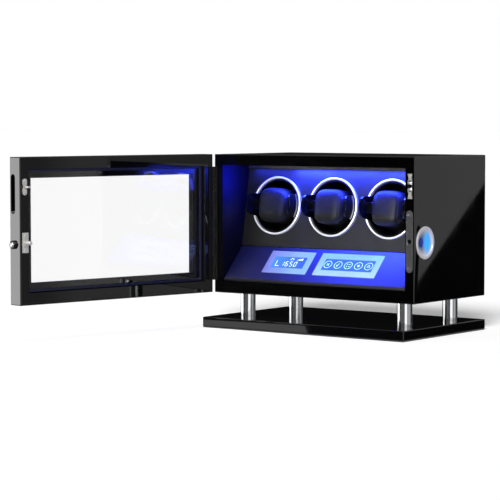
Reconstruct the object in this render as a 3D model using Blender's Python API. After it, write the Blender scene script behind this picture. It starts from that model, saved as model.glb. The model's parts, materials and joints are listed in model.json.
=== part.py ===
"""Three-rotor watch winder box: a lacquered cabinet on four posts and a plinth, with a glazed side-hung
door, a leaning winder panel, belt-driven rotors and an inclined control deck.

World frame in metres: +X to the right, +Y to the back, +Z up. The origin is the centre of the plinth's
underside. Cabinet pieces are placed in the cabinet frame, whose origin is its lower front left corner.
"""
import bpy
import bmesh
from math import acos, cos, pi, radians, sin, tan
from mathutils import Matrix, Vector

mm = 0.001
CLEAR = 0.3 * mm              # gap kept between two pieces that touch
PAST = 10 * mm                # how far a cutter runs past the face that it opens

# Plinth and posts
PLINTH_SIDE = 1 * mm          # how far it stands out past the cabinet at each side
PLINTH_EXTRA_D = 28 * mm      # how much deeper it is than the cabinet, all of it in front
PLINTH_T = 14 * mm
FELT_T = 1.2 * mm
FELT_INSET = 3 * mm
POST_R = 11 * mm
POST_H = 34.1 * mm
POST_SIDE_INSET = 37 * mm     # from the cabinet's sides to the post centres
POST_FRONT_INSET = 34 * mm
POST_BACK_INSET = 36 * mm

# Cabinet carcass
CAB_W = 350 * mm
CAB_D = 192 * mm
CAB_H = 205 * mm
SIDE_T = 15 * mm
FLOOR_T = 17.6 * mm
ROOF_T = 16 * mm
EDGE_R = 1.2 * mm
BACK_T = 4 * mm
BACK_REBATE = 7 * mm          # how far the back panel laps onto the carcass
BACK_INSET = 4 * mm           # how far the back panel sits inside the carcass
JACK_R = 5.5 * mm
JACK_SIDE = 60 * mm           # from the cabinet's left side to the power inlet
JACK_HEIGHT = 34 * mm
JACK_RIM = 2 * mm             # flange outside the barrel, and wall of the socket
JACK_FLANGE_T = 1.5 * mm
JACK_REACH = 6 * mm           # barrel in front of the back panel

# Control deck
DECK_FRONT = 3 * mm           # set back from the cabinet's front
DECK_LIP = 4.6 * mm           # height of its upright front lip
DECK_LENGTH = 63.6 * mm       # along its slope
DECK_T = 3 * mm
DECK_SLOPE = radians(45.3)
DISPLAY_START = 14 * mm       # from the deck's front edge, along the slope, to both displays
DISPLAY_LENGTH = 42 * mm
DISPLAY_PROUD = 0.6 * mm
DISPLAY_MARGIN = 10 * mm
DISPLAY_GLASS_T = 1.5 * mm
LCD_W = 78 * mm
LCD_X = -59 * mm              # centre, from the cabinet's middle
TOUCH_W = 107 * mm
TOUCH_X = 46 * mm
BOARD_W = 190 * mm
BOARD_LENGTH = 34 * mm
BOARD_T = 1.6 * mm
BOARD_DROP = 8 * mm           # below the deck's upper face

# Winder panel and its light
PANEL_LEAN = radians(8.85)
PANEL_T = 6 * mm
PANEL_FOOT = 0.5 * mm         # left free between the panel and the deck's upper edge
ROTOR_PITCH = 100.5 * mm
ROTOR_COUNT = 3
LIGHT_SIDE = 25 * mm          # from the cabinet's sides to the light's ends
LIGHT_D = 10 * mm
LIGHT_H = 5 * mm
LIGHT_WALL = 1.5 * mm
LIGHT_AHEAD = 5 * mm          # gap between the light and the panel's upper edge
DIFFUSER_T = 2 * mm

# Rotor stations
RING_R = 43.5 * mm
RING_W = 3 * mm
RING_PROUD = 5 * mm
RING_CHAMFER = 1 * mm
SPIGOT_T = 0.7 * mm
ROTOR_RUN = 0.7 * mm          # running gap between ring and rotor
CUP_WALL = 2.5 * mm
CUP_DEPTH = 44 * mm
CUP_FLOOR = 3 * mm
CUP_LIP = 2 * mm              # how far the round lip stands in front of the panel
EAR_REACH = 27 * mm
EAR_ROOT = 18 * mm            # half height where the ear leaves the cup
EAR_TIP = 15.5 * mm           # half height near the tip
EAR_CORNER = 9 * mm
SHAFT_R = 4 * mm
SHAFT_PAST = 1 * mm           # shaft behind the rotor's pulley
BOSS_R = 9 * mm
BOSS_L = 3.5 * mm
HOUSING_GAP = 2 * mm          # between cup and housing
HOUSING_WALL = 2.2 * mm
HOUSING_FLOOR = 3 * mm
HOUSING_FLANGE = 3 * mm
PILLOW_SIDE_GAP = 13.8 * mm   # from the cup's wall to the pillow's sides, on the middle lines
PILLOW_TOP_GAP = 11.3 * mm    # and to its top and underside
PILLOW_FRONT = 22 * mm        # in front of the panel
PILLOW_BACK = 37 * mm         # behind the panel's front
PILLOW_ROUND = 7 * mm
ARM_H = 16 * mm
ARM_FRONT = 12 * mm
ARM_BACK = 12 * mm
ARM_GAP = 0.5 * mm

# Belt drive
MOTOR_R = 12 * mm
MOTOR_L = 28 * mm
MOTOR_GAP = 2 * mm            # between motor and housing
BRACKET_W = 28 * mm
BRACKET_STEP = 0.75 * mm      # bracket's face behind the housing's, and
BRACKET_INSET = 0.5 * mm      # its back in front of the housing's
SPINDLE_R = 1.2 * mm
SPINDLE_IN = 10 * mm
SPINDLE_HOLE_R = 3.6 * mm     # in the bracket
BELT_R = 1.2 * mm
BELT_SIDE = 0.1 * mm          # side play of the belt in its groove, past the usual gap
BELT_LINE_BIG = 21 * mm
BELT_LINE_SMALL = 5.25 * mm
PULLEY_FLANGE = 1.2 * mm
PULLEY_RIM = 2 * mm           # how far the flanges stand above the belt line
PULLEY_GAP = 1.7 * mm         # between housing and pulleys

# Door
DOOR_GAP = 4 * mm
DOOR_T = 24 * mm
DOOR_OPEN = radians(101.2)
REVEAL_SIDE = 15 * mm
REVEAL_FOOT = 17 * mm
REVEAL_DEPTH = 14 * mm
LIP_W = 12.5 * mm             # ledge that carries the glass
GLASS_T = 3 * mm
BEAD = 4 * mm
PULL_L = 55 * mm
PULL_W = 10 * mm
PULL_DEPTH = 10 * mm
PULL_Z = 154 * mm
PULL_FROM_INSIDE = 16.4 * mm
KEY_Z = 84 * mm
KEY_FROM_INSIDE = 15 * mm
KEY_HEAD_R = 5 * mm
KEY_HEAD_L = 5 * mm
KEY_SHANK_R = 4 * mm
KEY_SHANK_L = 11 * mm
KEY_PLUG_R = 2.8 * mm
KEY_SLOT = 1 * mm
KEY_SLOT_L = 3.92 * mm
KEY_SLOT_DEPTH = 3 * mm
KEY_FLOOR = 1.5 * mm          # solid end of the barrel behind the plug

# Hinge
HINGE_L = 168 * mm
HINGE_LEAF_T = 1.4 * mm
HINGE_CAB_LEAF = 6.1 * mm
HINGE_DOOR_LEAF = 8.5 * mm
HINGE_BARREL_R = 1.7 * mm
HINGE_BORE_R = 1 * mm
HINGE_PIN_R = 0.7 * mm
KNUCKLES = 9
KNUCKLE_ROOT = 0.2 * mm       # where a leaf starts, outside the bore
KNUCKLE_GAP = 0.4 * mm        # between a leaf and the other leaf's knuckles

# Lock and catch in the right-hand wall
LOCK_FROM_EDGE = 8.2 * mm     # from the cabinet's right side to the lock's middle
LOCK_Z = 87 * mm
FACE_W = 10.8 * mm
FACE_L = 86.7 * mm
FACE_T = 1.5 * mm
LOCK_BODY_W = 7.6 * mm
LOCK_BODY_L = 65 * mm
LOCK_BODY_D = 9.7 * mm
STRIKER_R = 2.9 * mm
STRIKER_RUN = 0.5 * mm        # between the striker pin and its hole
STRIKER_IN = 9.6 * mm         # reach past the cabinet's front
NECK_R = 1.2 * mm
NECK_START = 4.6 * mm
NECK_L = 3.8 * mm
BOLT_T = 2.4 * mm
BOLT_W = 5 * mm
BOLT_L = 13 * mm
BOLT_REST = 1 * mm            # below the pin when withdrawn
STRIKER_PLATE_W = 10.2 * mm
STRIKER_PLATE_L = 28 * mm
STRIKER_PLATE_T = 1 * mm
STRIKER_FOOT = 9 * mm
STRIKER_FOOT_T = 1.6 * mm
CATCH_FROM_EDGE = 7.5 * mm
CATCH_Z = 164 * mm
CATCH_W = 7.4 * mm
CATCH_L = 36 * mm
CATCH_D = 12 * mm
BALL_R = 2.6 * mm
BALL_GAP = 3.4 * mm
BALL_TRAVEL = 1 * mm
BALL_IN = 3.4 * mm            # ball centres behind the cabinet's front
TONGUE_T = 2.8 * mm
TONGUE_W = 4.6 * mm
TONGUE_IN = 7 * mm
CATCH_RUN = 1 * mm            # room behind the tongue and the balls
STRIKE_L = 23 * mm
STRIKE_T = 1.2 * mm

# Fingerprint reader in the right-hand side
READER_Y = 27.5 * mm
READER_Z = 84.7 * mm
READER_R = 23 * mm
READER_FLANGE = 1 * mm
DISH_R = 19 * mm
DISH_DEPTH = 6 * mm
DISH_WALL = 1.2 * mm
SENSOR_R = 6.5 * mm
SENSOR_T = 0.9 * mm
WIRE_R = 3 * mm               # hole for the reader's wire, through to the inside

# Derived sizes and places, in the cabinet frame unless said otherwise
PLINTH_W = CAB_W + 2 * PLINTH_SIDE
PLINTH_D = CAB_D + PLINTH_EXTRA_D
CAB_FRONT_Y = PLINTH_D / 2 - CAB_D
FELT_TOP = FELT_T + CLEAR
PLINTH_TOP = FELT_TOP + PLINTH_T
CAB_BOTTOM = PLINTH_TOP + CLEAR + POST_H + CLEAR
ROOM_TOP = CAB_H - ROOF_T
ROOM_LEFT = SIDE_T
ROOM_RIGHT = CAB_W - SIDE_T
MIDDLE = CAB_W / 2
DECK_BOTTOM = FLOOR_T + CLEAR
DECK_FRONT_Z = DECK_BOTTOM + DECK_LIP
JUNCTION_Y = DECK_FRONT + DECK_LENGTH * cos(DECK_SLOPE)
JUNCTION_Z = DECK_FRONT_Z + DECK_LENGTH * sin(DECK_SLOPE)
PANEL_LENGTH = (ROOM_TOP - CLEAR - JUNCTION_Z) / cos(PANEL_LEAN) - PANEL_FOOT
PANEL_MID = PANEL_FOOT + PANEL_LENGTH / 2
PANEL_Y = JUNCTION_Y + PANEL_MID * sin(PANEL_LEAN)
PANEL_Z = JUNCTION_Z + PANEL_MID * cos(PANEL_LEAN)
RING_IN = RING_R - RING_W
PANEL_HOLE_R = RING_IN + SPIGOT_T + CLEAR
CUP_R = RING_IN - ROTOR_RUN
CUP_IN = CUP_R - CUP_WALL
PILLOW_W = 2 * (CUP_IN - PILLOW_SIDE_GAP)
PILLOW_H = 2 * (CUP_IN - PILLOW_TOP_GAP)
HOUSING_IN = CUP_R + HOUSING_GAP
HOUSING_R = HOUSING_IN + HOUSING_WALL
HOUSING_FACE = CUP_DEPTH + BOSS_L + 2 * CLEAR
HOUSING_BACK = HOUSING_FACE + HOUSING_FLOOR
MOTOR_DROP = HOUSING_R + MOTOR_GAP + MOTOR_R
BRACKET_FACE = HOUSING_FACE + BRACKET_STEP
BRACKET_BACK = HOUSING_BACK - BRACKET_INSET
MOTOR_BACK = BRACKET_FACE - CLEAR
GROOVE_W = 2 * (BELT_R + CLEAR + BELT_SIDE)
PULLEY_FACE = HOUSING_BACK + PULLEY_GAP
PULLEY_L = GROOVE_W + 2 * PULLEY_FLANGE
BELT_Y = PULLEY_FACE + PULLEY_L / 2
HINGE_Y = -DOOR_GAP / 2
DOOR_IN = -DOOR_GAP / 2       # door's inner face in the door frame
DOOR_OUT = DOOR_IN - DOOR_T
LOCK_X = CAB_W - LOCK_FROM_EDGE
CATCH_X = CAB_W - CATCH_FROM_EDGE

for old in list(bpy.data.objects):
    bpy.data.objects.remove(old, do_unlink=True)


def material(name, colour, roughness, metallic=0.0, alpha=1.0):
    """Principled material, one for each object."""
    made = bpy.data.materials.new(name)
    made.use_nodes = True
    shader = made.node_tree.nodes["Principled BSDF"]
    shader.inputs["Base Color"].default_value = (*colour, 1.0)
    shader.inputs["Roughness"].default_value = roughness
    shader.inputs["Metallic"].default_value = metallic
    shader.inputs["Alpha"].default_value = alpha
    return made


LACQUER = ((0.008, 0.008, 0.009), 0.08)
LEATHER = ((0.02, 0.02, 0.022), 0.5)
GLOSS_BLACK = ((0.012, 0.012, 0.013), 0.15)
DARK_PLASTIC = ((0.03, 0.03, 0.032), 0.5)
STEEL = ((0.62, 0.62, 0.63), 0.25, 1.0)
CHROME = ((0.85, 0.85, 0.87), 0.06, 1.0)
BRASS = ((0.75, 0.6, 0.3), 0.25, 1.0)
RUBBER = ((0.015, 0.015, 0.015), 0.8)
FELT = ((0.02, 0.02, 0.02), 0.95)
GLASS = ((0.9, 0.93, 0.93), 0.02, 0.0, 0.25)
GLOW = ((0.75, 0.85, 1.0), 0.3)
DISPLAY = ((0.25, 0.35, 0.9), 0.1)
BOARD_GREEN = ((0.02, 0.15, 0.06), 0.5)
LIGHT_BLUE = ((0.2, 0.3, 1.0), 0.4)


def add_frame(name, parent=None, location=(0, 0, 0), turn=(0, 0, 0)):
    """Empty that carries the pieces of one sub-assembly."""
    frame = bpy.data.objects.new(name, None)
    bpy.context.collection.objects.link(frame)
    frame.parent = parent
    frame.location = location
    frame.rotation_euler = turn
    return frame


def add_object(name, bm, finish, parent=None, location=(0, 0, 0)):
    """Object from a bmesh whose faces are turned outwards; finish is None for a cutter or an operand."""
    bmesh.ops.recalc_face_normals(bm, faces=bm.faces)
    mesh = bpy.data.meshes.new(name)
    bm.to_mesh(mesh)
    bm.free()
    made = bpy.data.objects.new(name, mesh)
    bpy.context.collection.objects.link(made)
    made.parent = parent
    made.location = location
    if finish is None:
        made.hide_render = True
        made.display_type = "WIRE"
    else:
        mesh.materials.append(material(name, *finish))
    return made


def add_block(bm, low, high):
    """Box between two opposite corners."""
    size = Vector(high) - Vector(low)
    middle = (Vector(high) + Vector(low)) / 2
    matrix = Matrix.Translation(middle) @ Matrix.Diagonal((*size, 1.0))
    bmesh.ops.create_cube(bm, size=1.0, matrix=matrix)


def block(name, low, high, finish, parent=None, location=(0, 0, 0)):
    bm = bmesh.new()
    add_block(bm, low, high)
    return add_object(name, bm, finish, parent, location)


def add_turned(bm, outline, segments, axis="Y", centre=(0, 0, 0)):
    """Body turned from a closed outline of (radius, distance along the axis) points."""
    frames = {
        "X": Matrix(((0, 0, 1), (1, 0, 0), (0, 1, 0))),
        "Y": Matrix(((1, 0, 0), (0, 0, 1), (0, 1, 0))),
        "Z": Matrix(((1, 0, 0), (0, 1, 0), (0, 0, 1))),
    }
    frame = frames[axis]
    rings = []
    for radius, along in outline:
        count = segments if radius > 0 else 1
        ring = []
        for k in range(count):
            angle = 2 * pi * k / segments
            point = Vector((radius * cos(angle), radius * sin(angle), along))
            ring.append(bm.verts.new(Vector(centre) + frame @ point))
        rings.append(ring)
    for one, two in zip(rings, rings[1:] + rings[:1]):
        if len(one) == 1 and len(two) == 1:
            continue
        for k in range(segments):
            after = (k + 1) % segments
            corners = [one[k % len(one)], one[after % len(one)], two[after % len(two)], two[k % len(two)]]
            bm.faces.new(list(dict.fromkeys(corners)))


def turned(name, outline, finish, segments, axis, parent=None, location=(0, 0, 0)):
    bm = bmesh.new()
    add_turned(bm, outline, segments, axis)
    made = add_object(name, bm, finish, parent, location)
    made.data.shade_smooth()
    made.data.set_sharp_from_angle(angle=radians(40))
    return made


def bore(name, radius, low, high, segments, axis, parent, location=(0, 0, 0)):
    """Round cutter between two places along its axis."""
    outline = [(0, low), (radius, low), (radius, high), (0, high)]
    return turned(name, outline, None, segments, axis, parent, location)


def add_prism(bm, outline, low, high, axis="X"):
    """Straight body with a closed outline across the axis; outline order is (Y, Z), (X, Z) or (X, Y)."""
    def place(a, b, along):
        if axis == "X":
            return (along, a, b)
        if axis == "Y":
            return (a, along, b)
        return (a, b, along)
    first = [bm.verts.new(place(a, b, low)) for a, b in outline]
    last = [bm.verts.new(place(a, b, high)) for a, b in outline]
    bm.faces.new(first)
    bm.faces.new(last)
    for k in range(len(outline)):
        after = (k + 1) % len(outline)
        bm.faces.new((first[k], first[after], last[after], last[k]))


def prism(name, outline, low, high, finish, axis="X", parent=None, location=(0, 0, 0)):
    bm = bmesh.new()
    add_prism(bm, outline, low, high, axis)
    return add_object(name, bm, finish, parent, location)


def slot_outline(middle_a, middle_b, width, length, steps=6):
    """Upright slot with half-round ends."""
    radius = width / 2
    straight = length / 2 - radius
    points = []
    for end in (1, -1):
        for k in range(steps + 1):
            angle = pi * k / steps + (0 if end > 0 else pi)
            points.append((middle_a + radius * cos(angle), middle_b + end * straight + radius * sin(angle)))
    return points


def combine(target, operand, how):
    """Exact Boolean that stays on the target as a modifier."""
    step = target.modifiers.new(how.title(), "BOOLEAN")
    step.operation = how
    step.solver = "EXACT"
    step.object = operand


def carve(target, *cutters):
    for cutter in cutters:
        combine(target, cutter, "DIFFERENCE")


def round_edges(target, width, segments=2, limit=radians(50)):
    step = target.modifiers.new("Rounded edges", "BEVEL")
    step.width = width
    step.segments = segments
    step.limit_method = "ANGLE"
    step.angle_limit = limit


def build_base():
    """Felt sheet, lacquered plinth and four steel posts, placed in the world frame."""
    half_w = PLINTH_W / 2
    half_d = PLINTH_D / 2
    inset_w = half_w - FELT_INSET
    inset_d = half_d - FELT_INSET
    block("base_felt", (-inset_w, -inset_d, 0), (inset_w, inset_d, FELT_T), FELT)
    plinth = block("base_plinth", (-half_w, -half_d, FELT_TOP), (half_w, half_d, PLINTH_TOP), LACQUER)
    round_edges(plinth, EDGE_R)
    post_x = CAB_W / 2 - POST_SIDE_INSET
    front_y = CAB_FRONT_Y + POST_FRONT_INSET
    back_y = CAB_FRONT_Y + CAB_D - POST_BACK_INSET
    foot = PLINTH_TOP + CLEAR
    outline = [(0, 0), (POST_R, 0), (POST_R, POST_H), (0, POST_H)]
    places = {
        "post_front_left": (-post_x, front_y),
        "post_front_right": (post_x, front_y),
        "post_back_left": (-post_x, back_y),
        "post_back_right": (post_x, back_y),
    }
    for name, (x, y) in places.items():
        turned(name, outline, STEEL, segments=20, axis="Z", location=(x, y, foot))


def reader_outline(back, wall, rim):
    """Cone of the fingerprint dish's pocket, as (radius, X) from its back to past the cabinet's side."""
    floor = CAB_W - DISH_DEPTH - wall
    top = DISH_R + rim
    foot = SENSOR_R + rim
    end = CAB_W + PAST
    return [(0, back), (WIRE_R, back), (WIRE_R, floor), (foot, floor), (top, CAB_W), (top, end), (0, end)]


def build_carcass(cabinet):
    """Cabinet shell with every pocket that its hardware needs, its back and the power inlet."""
    shell = block("cabinet_shell", (0, 0, 0), (CAB_W, CAB_D, CAB_H), LACQUER, cabinet)
    round_edges(shell, EDGE_R)
    rebate = BACK_REBATE
    back_y = CAB_D - BACK_INSET - BACK_T - CLEAR
    room = block("cut_room", (ROOM_LEFT, -PAST, FLOOR_T), (ROOM_RIGHT, CAB_D + PAST, ROOM_TOP), None,
                 cabinet)
    low = (ROOM_LEFT - rebate, back_y, FLOOR_T - rebate)
    high = (ROOM_RIGHT + rebate, CAB_D + PAST, ROOM_TOP + rebate)
    back_cut = block("cut_back", low, high, None, cabinet)
    face = slot_outline(LOCK_X, LOCK_Z, FACE_W + 2 * CLEAR, FACE_L + 2 * CLEAR)
    face_cut = prism("cut_face", face, -PAST, FACE_T + CLEAR, None, "Y", cabinet)
    half_w = LOCK_BODY_W / 2 + CLEAR
    half_l = LOCK_BODY_L / 2 + CLEAR
    lock_back = FACE_T + CLEAR + LOCK_BODY_D + CLEAR
    lock_cut = block("cut_lock", (LOCK_X - half_w, -PAST, LOCK_Z - half_l),
                     (LOCK_X + half_w, lock_back, LOCK_Z + half_l), None, cabinet)
    half_w = CATCH_W / 2 + CLEAR
    half_l = CATCH_L / 2 + CLEAR
    catch_cut = block("cut_catch", (CATCH_X - half_w, -PAST, CATCH_Z - half_l),
                      (CATCH_X + half_w, CATCH_D + CLEAR, CATCH_Z + half_l), None, cabinet)
    cone = reader_outline(ROOM_RIGHT - PAST, DISH_WALL + CLEAR, DISH_WALL + CLEAR)
    reader_cut = turned("cut_reader", cone, None, 30, "X", cabinet, (0, READER_Y, READER_Z))
    carve(shell, room, back_cut, face_cut, lock_cut, catch_cut, reader_cut)

    lap = rebate - CLEAR
    back = block("back_panel", (ROOM_LEFT - lap, back_y + CLEAR, FLOOR_T - lap),
                 (ROOM_RIGHT + lap, back_y + CLEAR + BACK_T, ROOM_TOP + lap), DARK_PLASTIC, cabinet)
    jack_at = (JACK_SIDE, 0, JACK_HEIGHT)
    back_low = back_y + CLEAR
    back_high = back_low + BACK_T
    hole = bore("cut_jack", JACK_R + CLEAR, back_low - PAST, back_high + PAST, 16, "Y", cabinet, jack_at)
    carve(back, hole)
    flange = JACK_R + JACK_RIM
    socket = JACK_R - JACK_RIM
    barrel_end = back_low - JACK_REACH
    rim = back_high + CLEAR
    face = rim + JACK_FLANGE_T
    floor = barrel_end + JACK_RIM
    jack = [(0, barrel_end), (JACK_R, barrel_end), (JACK_R, rim), (flange, rim), (flange, face),
            (socket, face), (socket, floor), (0, floor)]
    turned("dc_jack", jack, GLOSS_BLACK, 16, "Y", cabinet, jack_at)


def deck_outline():
    """Side outline of the bent deck sheet, as (Y, Z): lip, slope and the sheet's underside."""
    shift_y = DECK_T * sin(DECK_SLOPE)
    shift_z = DECK_T * cos(DECK_SLOPE)
    inner_z = DECK_FRONT_Z + DECK_T * tan(DECK_SLOPE) - DECK_T / cos(DECK_SLOPE)
    return [
        (DECK_FRONT, DECK_BOTTOM),
        (DECK_FRONT, DECK_FRONT_Z),
        (JUNCTION_Y, JUNCTION_Z),
        (JUNCTION_Y + shift_y, JUNCTION_Z - shift_z),
        (DECK_FRONT + DECK_T, inner_z),
        (DECK_FRONT + DECK_T, DECK_BOTTOM),
    ]


def build_display(name, glass_name, deck, slope, middle_x, width):
    """Lit frame let into the deck, with its glass in the frame's window."""
    start = DISPLAY_START
    end = start + DISPLAY_LENGTH
    half = width / 2
    low_x = middle_x - half
    high_x = middle_x + half
    bezel = block(name, (low_x, start, -DECK_T), (high_x, end, DISPLAY_PROUD), GLOW, slope)
    margin = DISPLAY_MARGIN
    window = block("cut_" + glass_name, (low_x + margin, start + margin, -PAST),
                   (high_x - margin, end - margin, PAST), None, slope)
    carve(bezel, window)
    inset = margin + CLEAR
    block(glass_name, (low_x + inset, start + inset, -DISPLAY_GLASS_T), (high_x - inset, end - inset, 0),
          DISPLAY, slope)
    opening = block("cut_" + name, (low_x - CLEAR, start - CLEAR, -PAST),
                    (high_x + CLEAR, end + CLEAR, PAST), None, slope)
    carve(deck, opening)


def build_deck(cabinet):
    """Inclined control deck with its two displays and the circuit board under it."""
    low_x = ROOM_LEFT + CLEAR
    high_x = ROOM_RIGHT - CLEAR
    deck = prism("control_deck", deck_outline(), low_x, high_x, GLOSS_BLACK, "X", cabinet)
    slope = add_frame("deck_slope", cabinet, (MIDDLE, DECK_FRONT, DECK_FRONT_Z), (DECK_SLOPE, 0, 0))
    build_display("lcd_bezel", "lcd_screen", deck, slope, LCD_X, LCD_W)
    build_display("touch_bezel", "touch_panel", deck, slope, TOUCH_X, TOUCH_W)
    board_start = DISPLAY_START + (DISPLAY_LENGTH - BOARD_LENGTH) / 2
    block("control_board", (-BOARD_W / 2, board_start, -BOARD_DROP - BOARD_T),
          (BOARD_W / 2, board_start + BOARD_LENGTH, -BOARD_DROP), BOARD_GREEN, slope)


def build_light(cabinet):
    """Light channel under the roof, open downwards, with a diffuser in its mouth."""
    back = PANEL_Y + PANEL_LENGTH / 2 * sin(PANEL_LEAN) - LIGHT_AHEAD
    front = back - LIGHT_D
    top = ROOM_TOP - CLEAR
    foot = top - LIGHT_H
    wall = LIGHT_WALL
    outline = [(front, foot), (front, top), (back, top), (back, foot), (back - wall, foot),
               (back - wall, top - wall), (front + wall, top - wall), (front + wall, foot)]
    left = LIGHT_SIDE
    right = CAB_W - LIGHT_SIDE
    prism("led_bar", outline, left, right, STEEL, "X", cabinet)
    block("led_diffuser", (left + wall, front + wall + CLEAR, foot + CLEAR),
          (right - wall, back - wall - CLEAR, foot + CLEAR + DIFFUSER_T), LIGHT_BLUE, cabinet)


def ear_cutter(name, station):
    """Two wedges that leave the rotor's left and right ears, with rounded tips."""
    bm = bmesh.new()
    far = CUP_R + PAST
    front = -EAR_REACH - PAST
    for side in (1, -1):
        arc = []
        for k in range(6):
            angle = pi / 2 + pi / 2 * k / 5
            arc.append((-EAR_REACH + EAR_CORNER + EAR_CORNER * cos(angle),
                        side * (EAR_TIP - EAR_CORNER + EAR_CORNER * sin(angle))))
        outline = [(-CUP_LIP, side * EAR_ROOT), *arc, (front, side * (EAR_TIP - EAR_CORNER)),
                   (front, side * far), (-CUP_LIP, side * far)]
        add_prism(bm, outline, -far, far, "X")
    return add_object(name, bm, None, station)


def build_rotor(number, station):
    """Chromed ring, cup with two ears and a shaft, and the watch pillow in it."""
    chamfer = RING_CHAMFER
    ring = [
        (RING_IN, -RING_PROUD + chamfer), (RING_IN + chamfer, -RING_PROUD), (RING_R - chamfer, -RING_PROUD),
        (RING_R, -RING_PROUD + chamfer), (RING_R, -CLEAR), (RING_IN + SPIGOT_T, -CLEAR),
        (RING_IN + SPIGOT_T, PANEL_T), (RING_IN, PANEL_T),
    ]
    turned(f"bezel_ring_{number}", ring, CHROME, 30, "Y", station)
    shaft_end = PULLEY_FACE + PULLEY_L + SHAFT_PAST
    cup = [
        (0, CUP_DEPTH - CUP_FLOOR), (CUP_IN, CUP_DEPTH - CUP_FLOOR), (CUP_IN, -EAR_REACH),
        (CUP_R, -EAR_REACH), (CUP_R, CUP_DEPTH), (BOSS_R, CUP_DEPTH), (BOSS_R, CUP_DEPTH + BOSS_L),
        (SHAFT_R, CUP_DEPTH + BOSS_L), (SHAFT_R, shaft_end), (0, shaft_end),
    ]
    rotor = turned(f"rotor_cup_{number}", cup, GLOSS_BLACK, 30, "Y", station)
    carve(rotor, ear_cutter(f"cut_ears_{number}", station))

    half_w = PILLOW_W / 2
    half_h = PILLOW_H / 2
    pillow = block(f"pillow_{number}", (-half_w, -PILLOW_FRONT, -half_h), (half_w, PILLOW_BACK, half_h),
                   LEATHER, station)
    round_edges(pillow, PILLOW_ROUND, 2)
    arm_x = (CUP_IN ** 2 - (ARM_H / 2) ** 2) ** 0.5 - ARM_GAP
    arms = block(f"arms_{number}", (-arm_x, -ARM_FRONT, -ARM_H / 2), (arm_x, ARM_BACK, ARM_H / 2), None,
                 station)
    combine(pillow, arms, "UNION")


def belt_path(steps_big=12, steps_small=5):
    """Centre line of the belt round both pulleys, as (X, Z) about the rotor's axis."""
    lean = acos((BELT_LINE_BIG - BELT_LINE_SMALL) / MOTOR_DROP)
    points = []
    for k in range(steps_big + 1):
        angle = -pi / 2 + lean + (2 * pi - 2 * lean) * k / steps_big
        points.append((BELT_LINE_BIG * cos(angle), BELT_LINE_BIG * sin(angle)))
    for k in range(steps_small + 1):
        angle = -pi / 2 - lean + 2 * lean * k / steps_small
        points.append((BELT_LINE_SMALL * cos(angle), -MOTOR_DROP + BELT_LINE_SMALL * sin(angle)))
    return points


def build_belt(number, station, sides=6):
    """Round rubber belt: one closed tube along the belt's centre line."""
    path = belt_path()
    count = len(path)
    bm = bmesh.new()
    rings = []
    for k, (x, z) in enumerate(path):
        before = Vector(path[k - 1])
        after = Vector(path[(k + 1) % count])
        along = (after - before).normalized()
        outward = Vector((along.y, -along.x))
        ring = []
        for side in range(sides):
            angle = 2 * pi * side / sides
            out = BELT_R * cos(angle)
            y = BELT_Y + BELT_R * sin(angle)
            ring.append(bm.verts.new((x + outward.x * out, y, z + outward.y * out)))
        rings.append(ring)
    for one, two in zip(rings, rings[1:] + rings[:1]):
        for side in range(sides):
            after = (side + 1) % sides
            bm.faces.new((one[side], one[after], two[after], two[side]))
    belt = add_object(f"drive_belt_{number}", bm, RUBBER, station)
    belt.data.shade_smooth()


def pulley_outline(belt_line, inner):
    """Flanged pulley round a belt line, as the outer part of a turned outline."""
    rim = belt_line + PULLEY_RIM
    bed = belt_line - BELT_R - CLEAR
    start = PULLEY_FACE
    end = PULLEY_FACE + PULLEY_L
    return [(inner, start), (rim, start), (rim, start + PULLEY_FLANGE), (bed, start + PULLEY_FLANGE),
            (bed, end - PULLEY_FLANGE), (rim, end - PULLEY_FLANGE), (rim, end), (inner, end)]


def build_drive(number, station):
    """Housing behind the panel with its motor, both pulleys and the belt."""
    face = PANEL_T + CLEAR
    flange_r = HOUSING_R + HOUSING_FLANGE
    hub = SHAFT_R + CLEAR
    outline = [
        (hub, HOUSING_FACE), (HOUSING_IN, HOUSING_FACE), (HOUSING_IN, face), (flange_r, face),
        (flange_r, face + HOUSING_FLANGE), (HOUSING_R, face + HOUSING_FLANGE), (HOUSING_R, HOUSING_BACK),
        (hub, HOUSING_BACK),
    ]
    housing = turned(f"drive_housing_{number}", outline, DARK_PLASTIC, 24, "Y", station)
    bracket_foot = -MOTOR_DROP - MOTOR_R - MOTOR_GAP
    bracket = block(f"bracket_{number}", (-BRACKET_W / 2, BRACKET_FACE, bracket_foot),
                    (BRACKET_W / 2, BRACKET_BACK, -HOUSING_IN + HOUSING_WALL), None, station)
    combine(housing, bracket, "UNION")
    motor_at = (0, 0, -MOTOR_DROP)
    spindle_hole = bore(f"cut_spindle_{number}", SPINDLE_HOLE_R, HOUSING_FACE - PAST, HOUSING_BACK + PAST,
                        10, "Y", station, motor_at)
    carve(housing, spindle_hole)

    motor_front = MOTOR_BACK - MOTOR_L
    socket = SPINDLE_R + CLEAR
    motor = [(0, motor_front), (MOTOR_R, motor_front), (MOTOR_R, MOTOR_BACK), (socket, MOTOR_BACK),
             (socket, MOTOR_BACK - SPINDLE_IN), (0, MOTOR_BACK - SPINDLE_IN)]
    turned(f"motor_{number}", motor, STEEL, 16, "Y", station, motor_at)
    spindle_start = MOTOR_BACK - SPINDLE_IN + CLEAR
    spindle_end = PULLEY_FACE + PULLEY_L
    flanges = pulley_outline(BELT_LINE_SMALL, SPINDLE_R)[:-1]
    small = [(0, spindle_start), (SPINDLE_R, spindle_start), *flanges, (0, spindle_end)]
    turned(f"motor_pulley_{number}", small, BRASS, 12, "Y", station, motor_at)
    big = pulley_outline(BELT_LINE_BIG, SHAFT_R + CLEAR)
    turned(f"rotor_pulley_{number}", big, DARK_PLASTIC, 20, "Y", station)
    build_belt(number, station)


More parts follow.
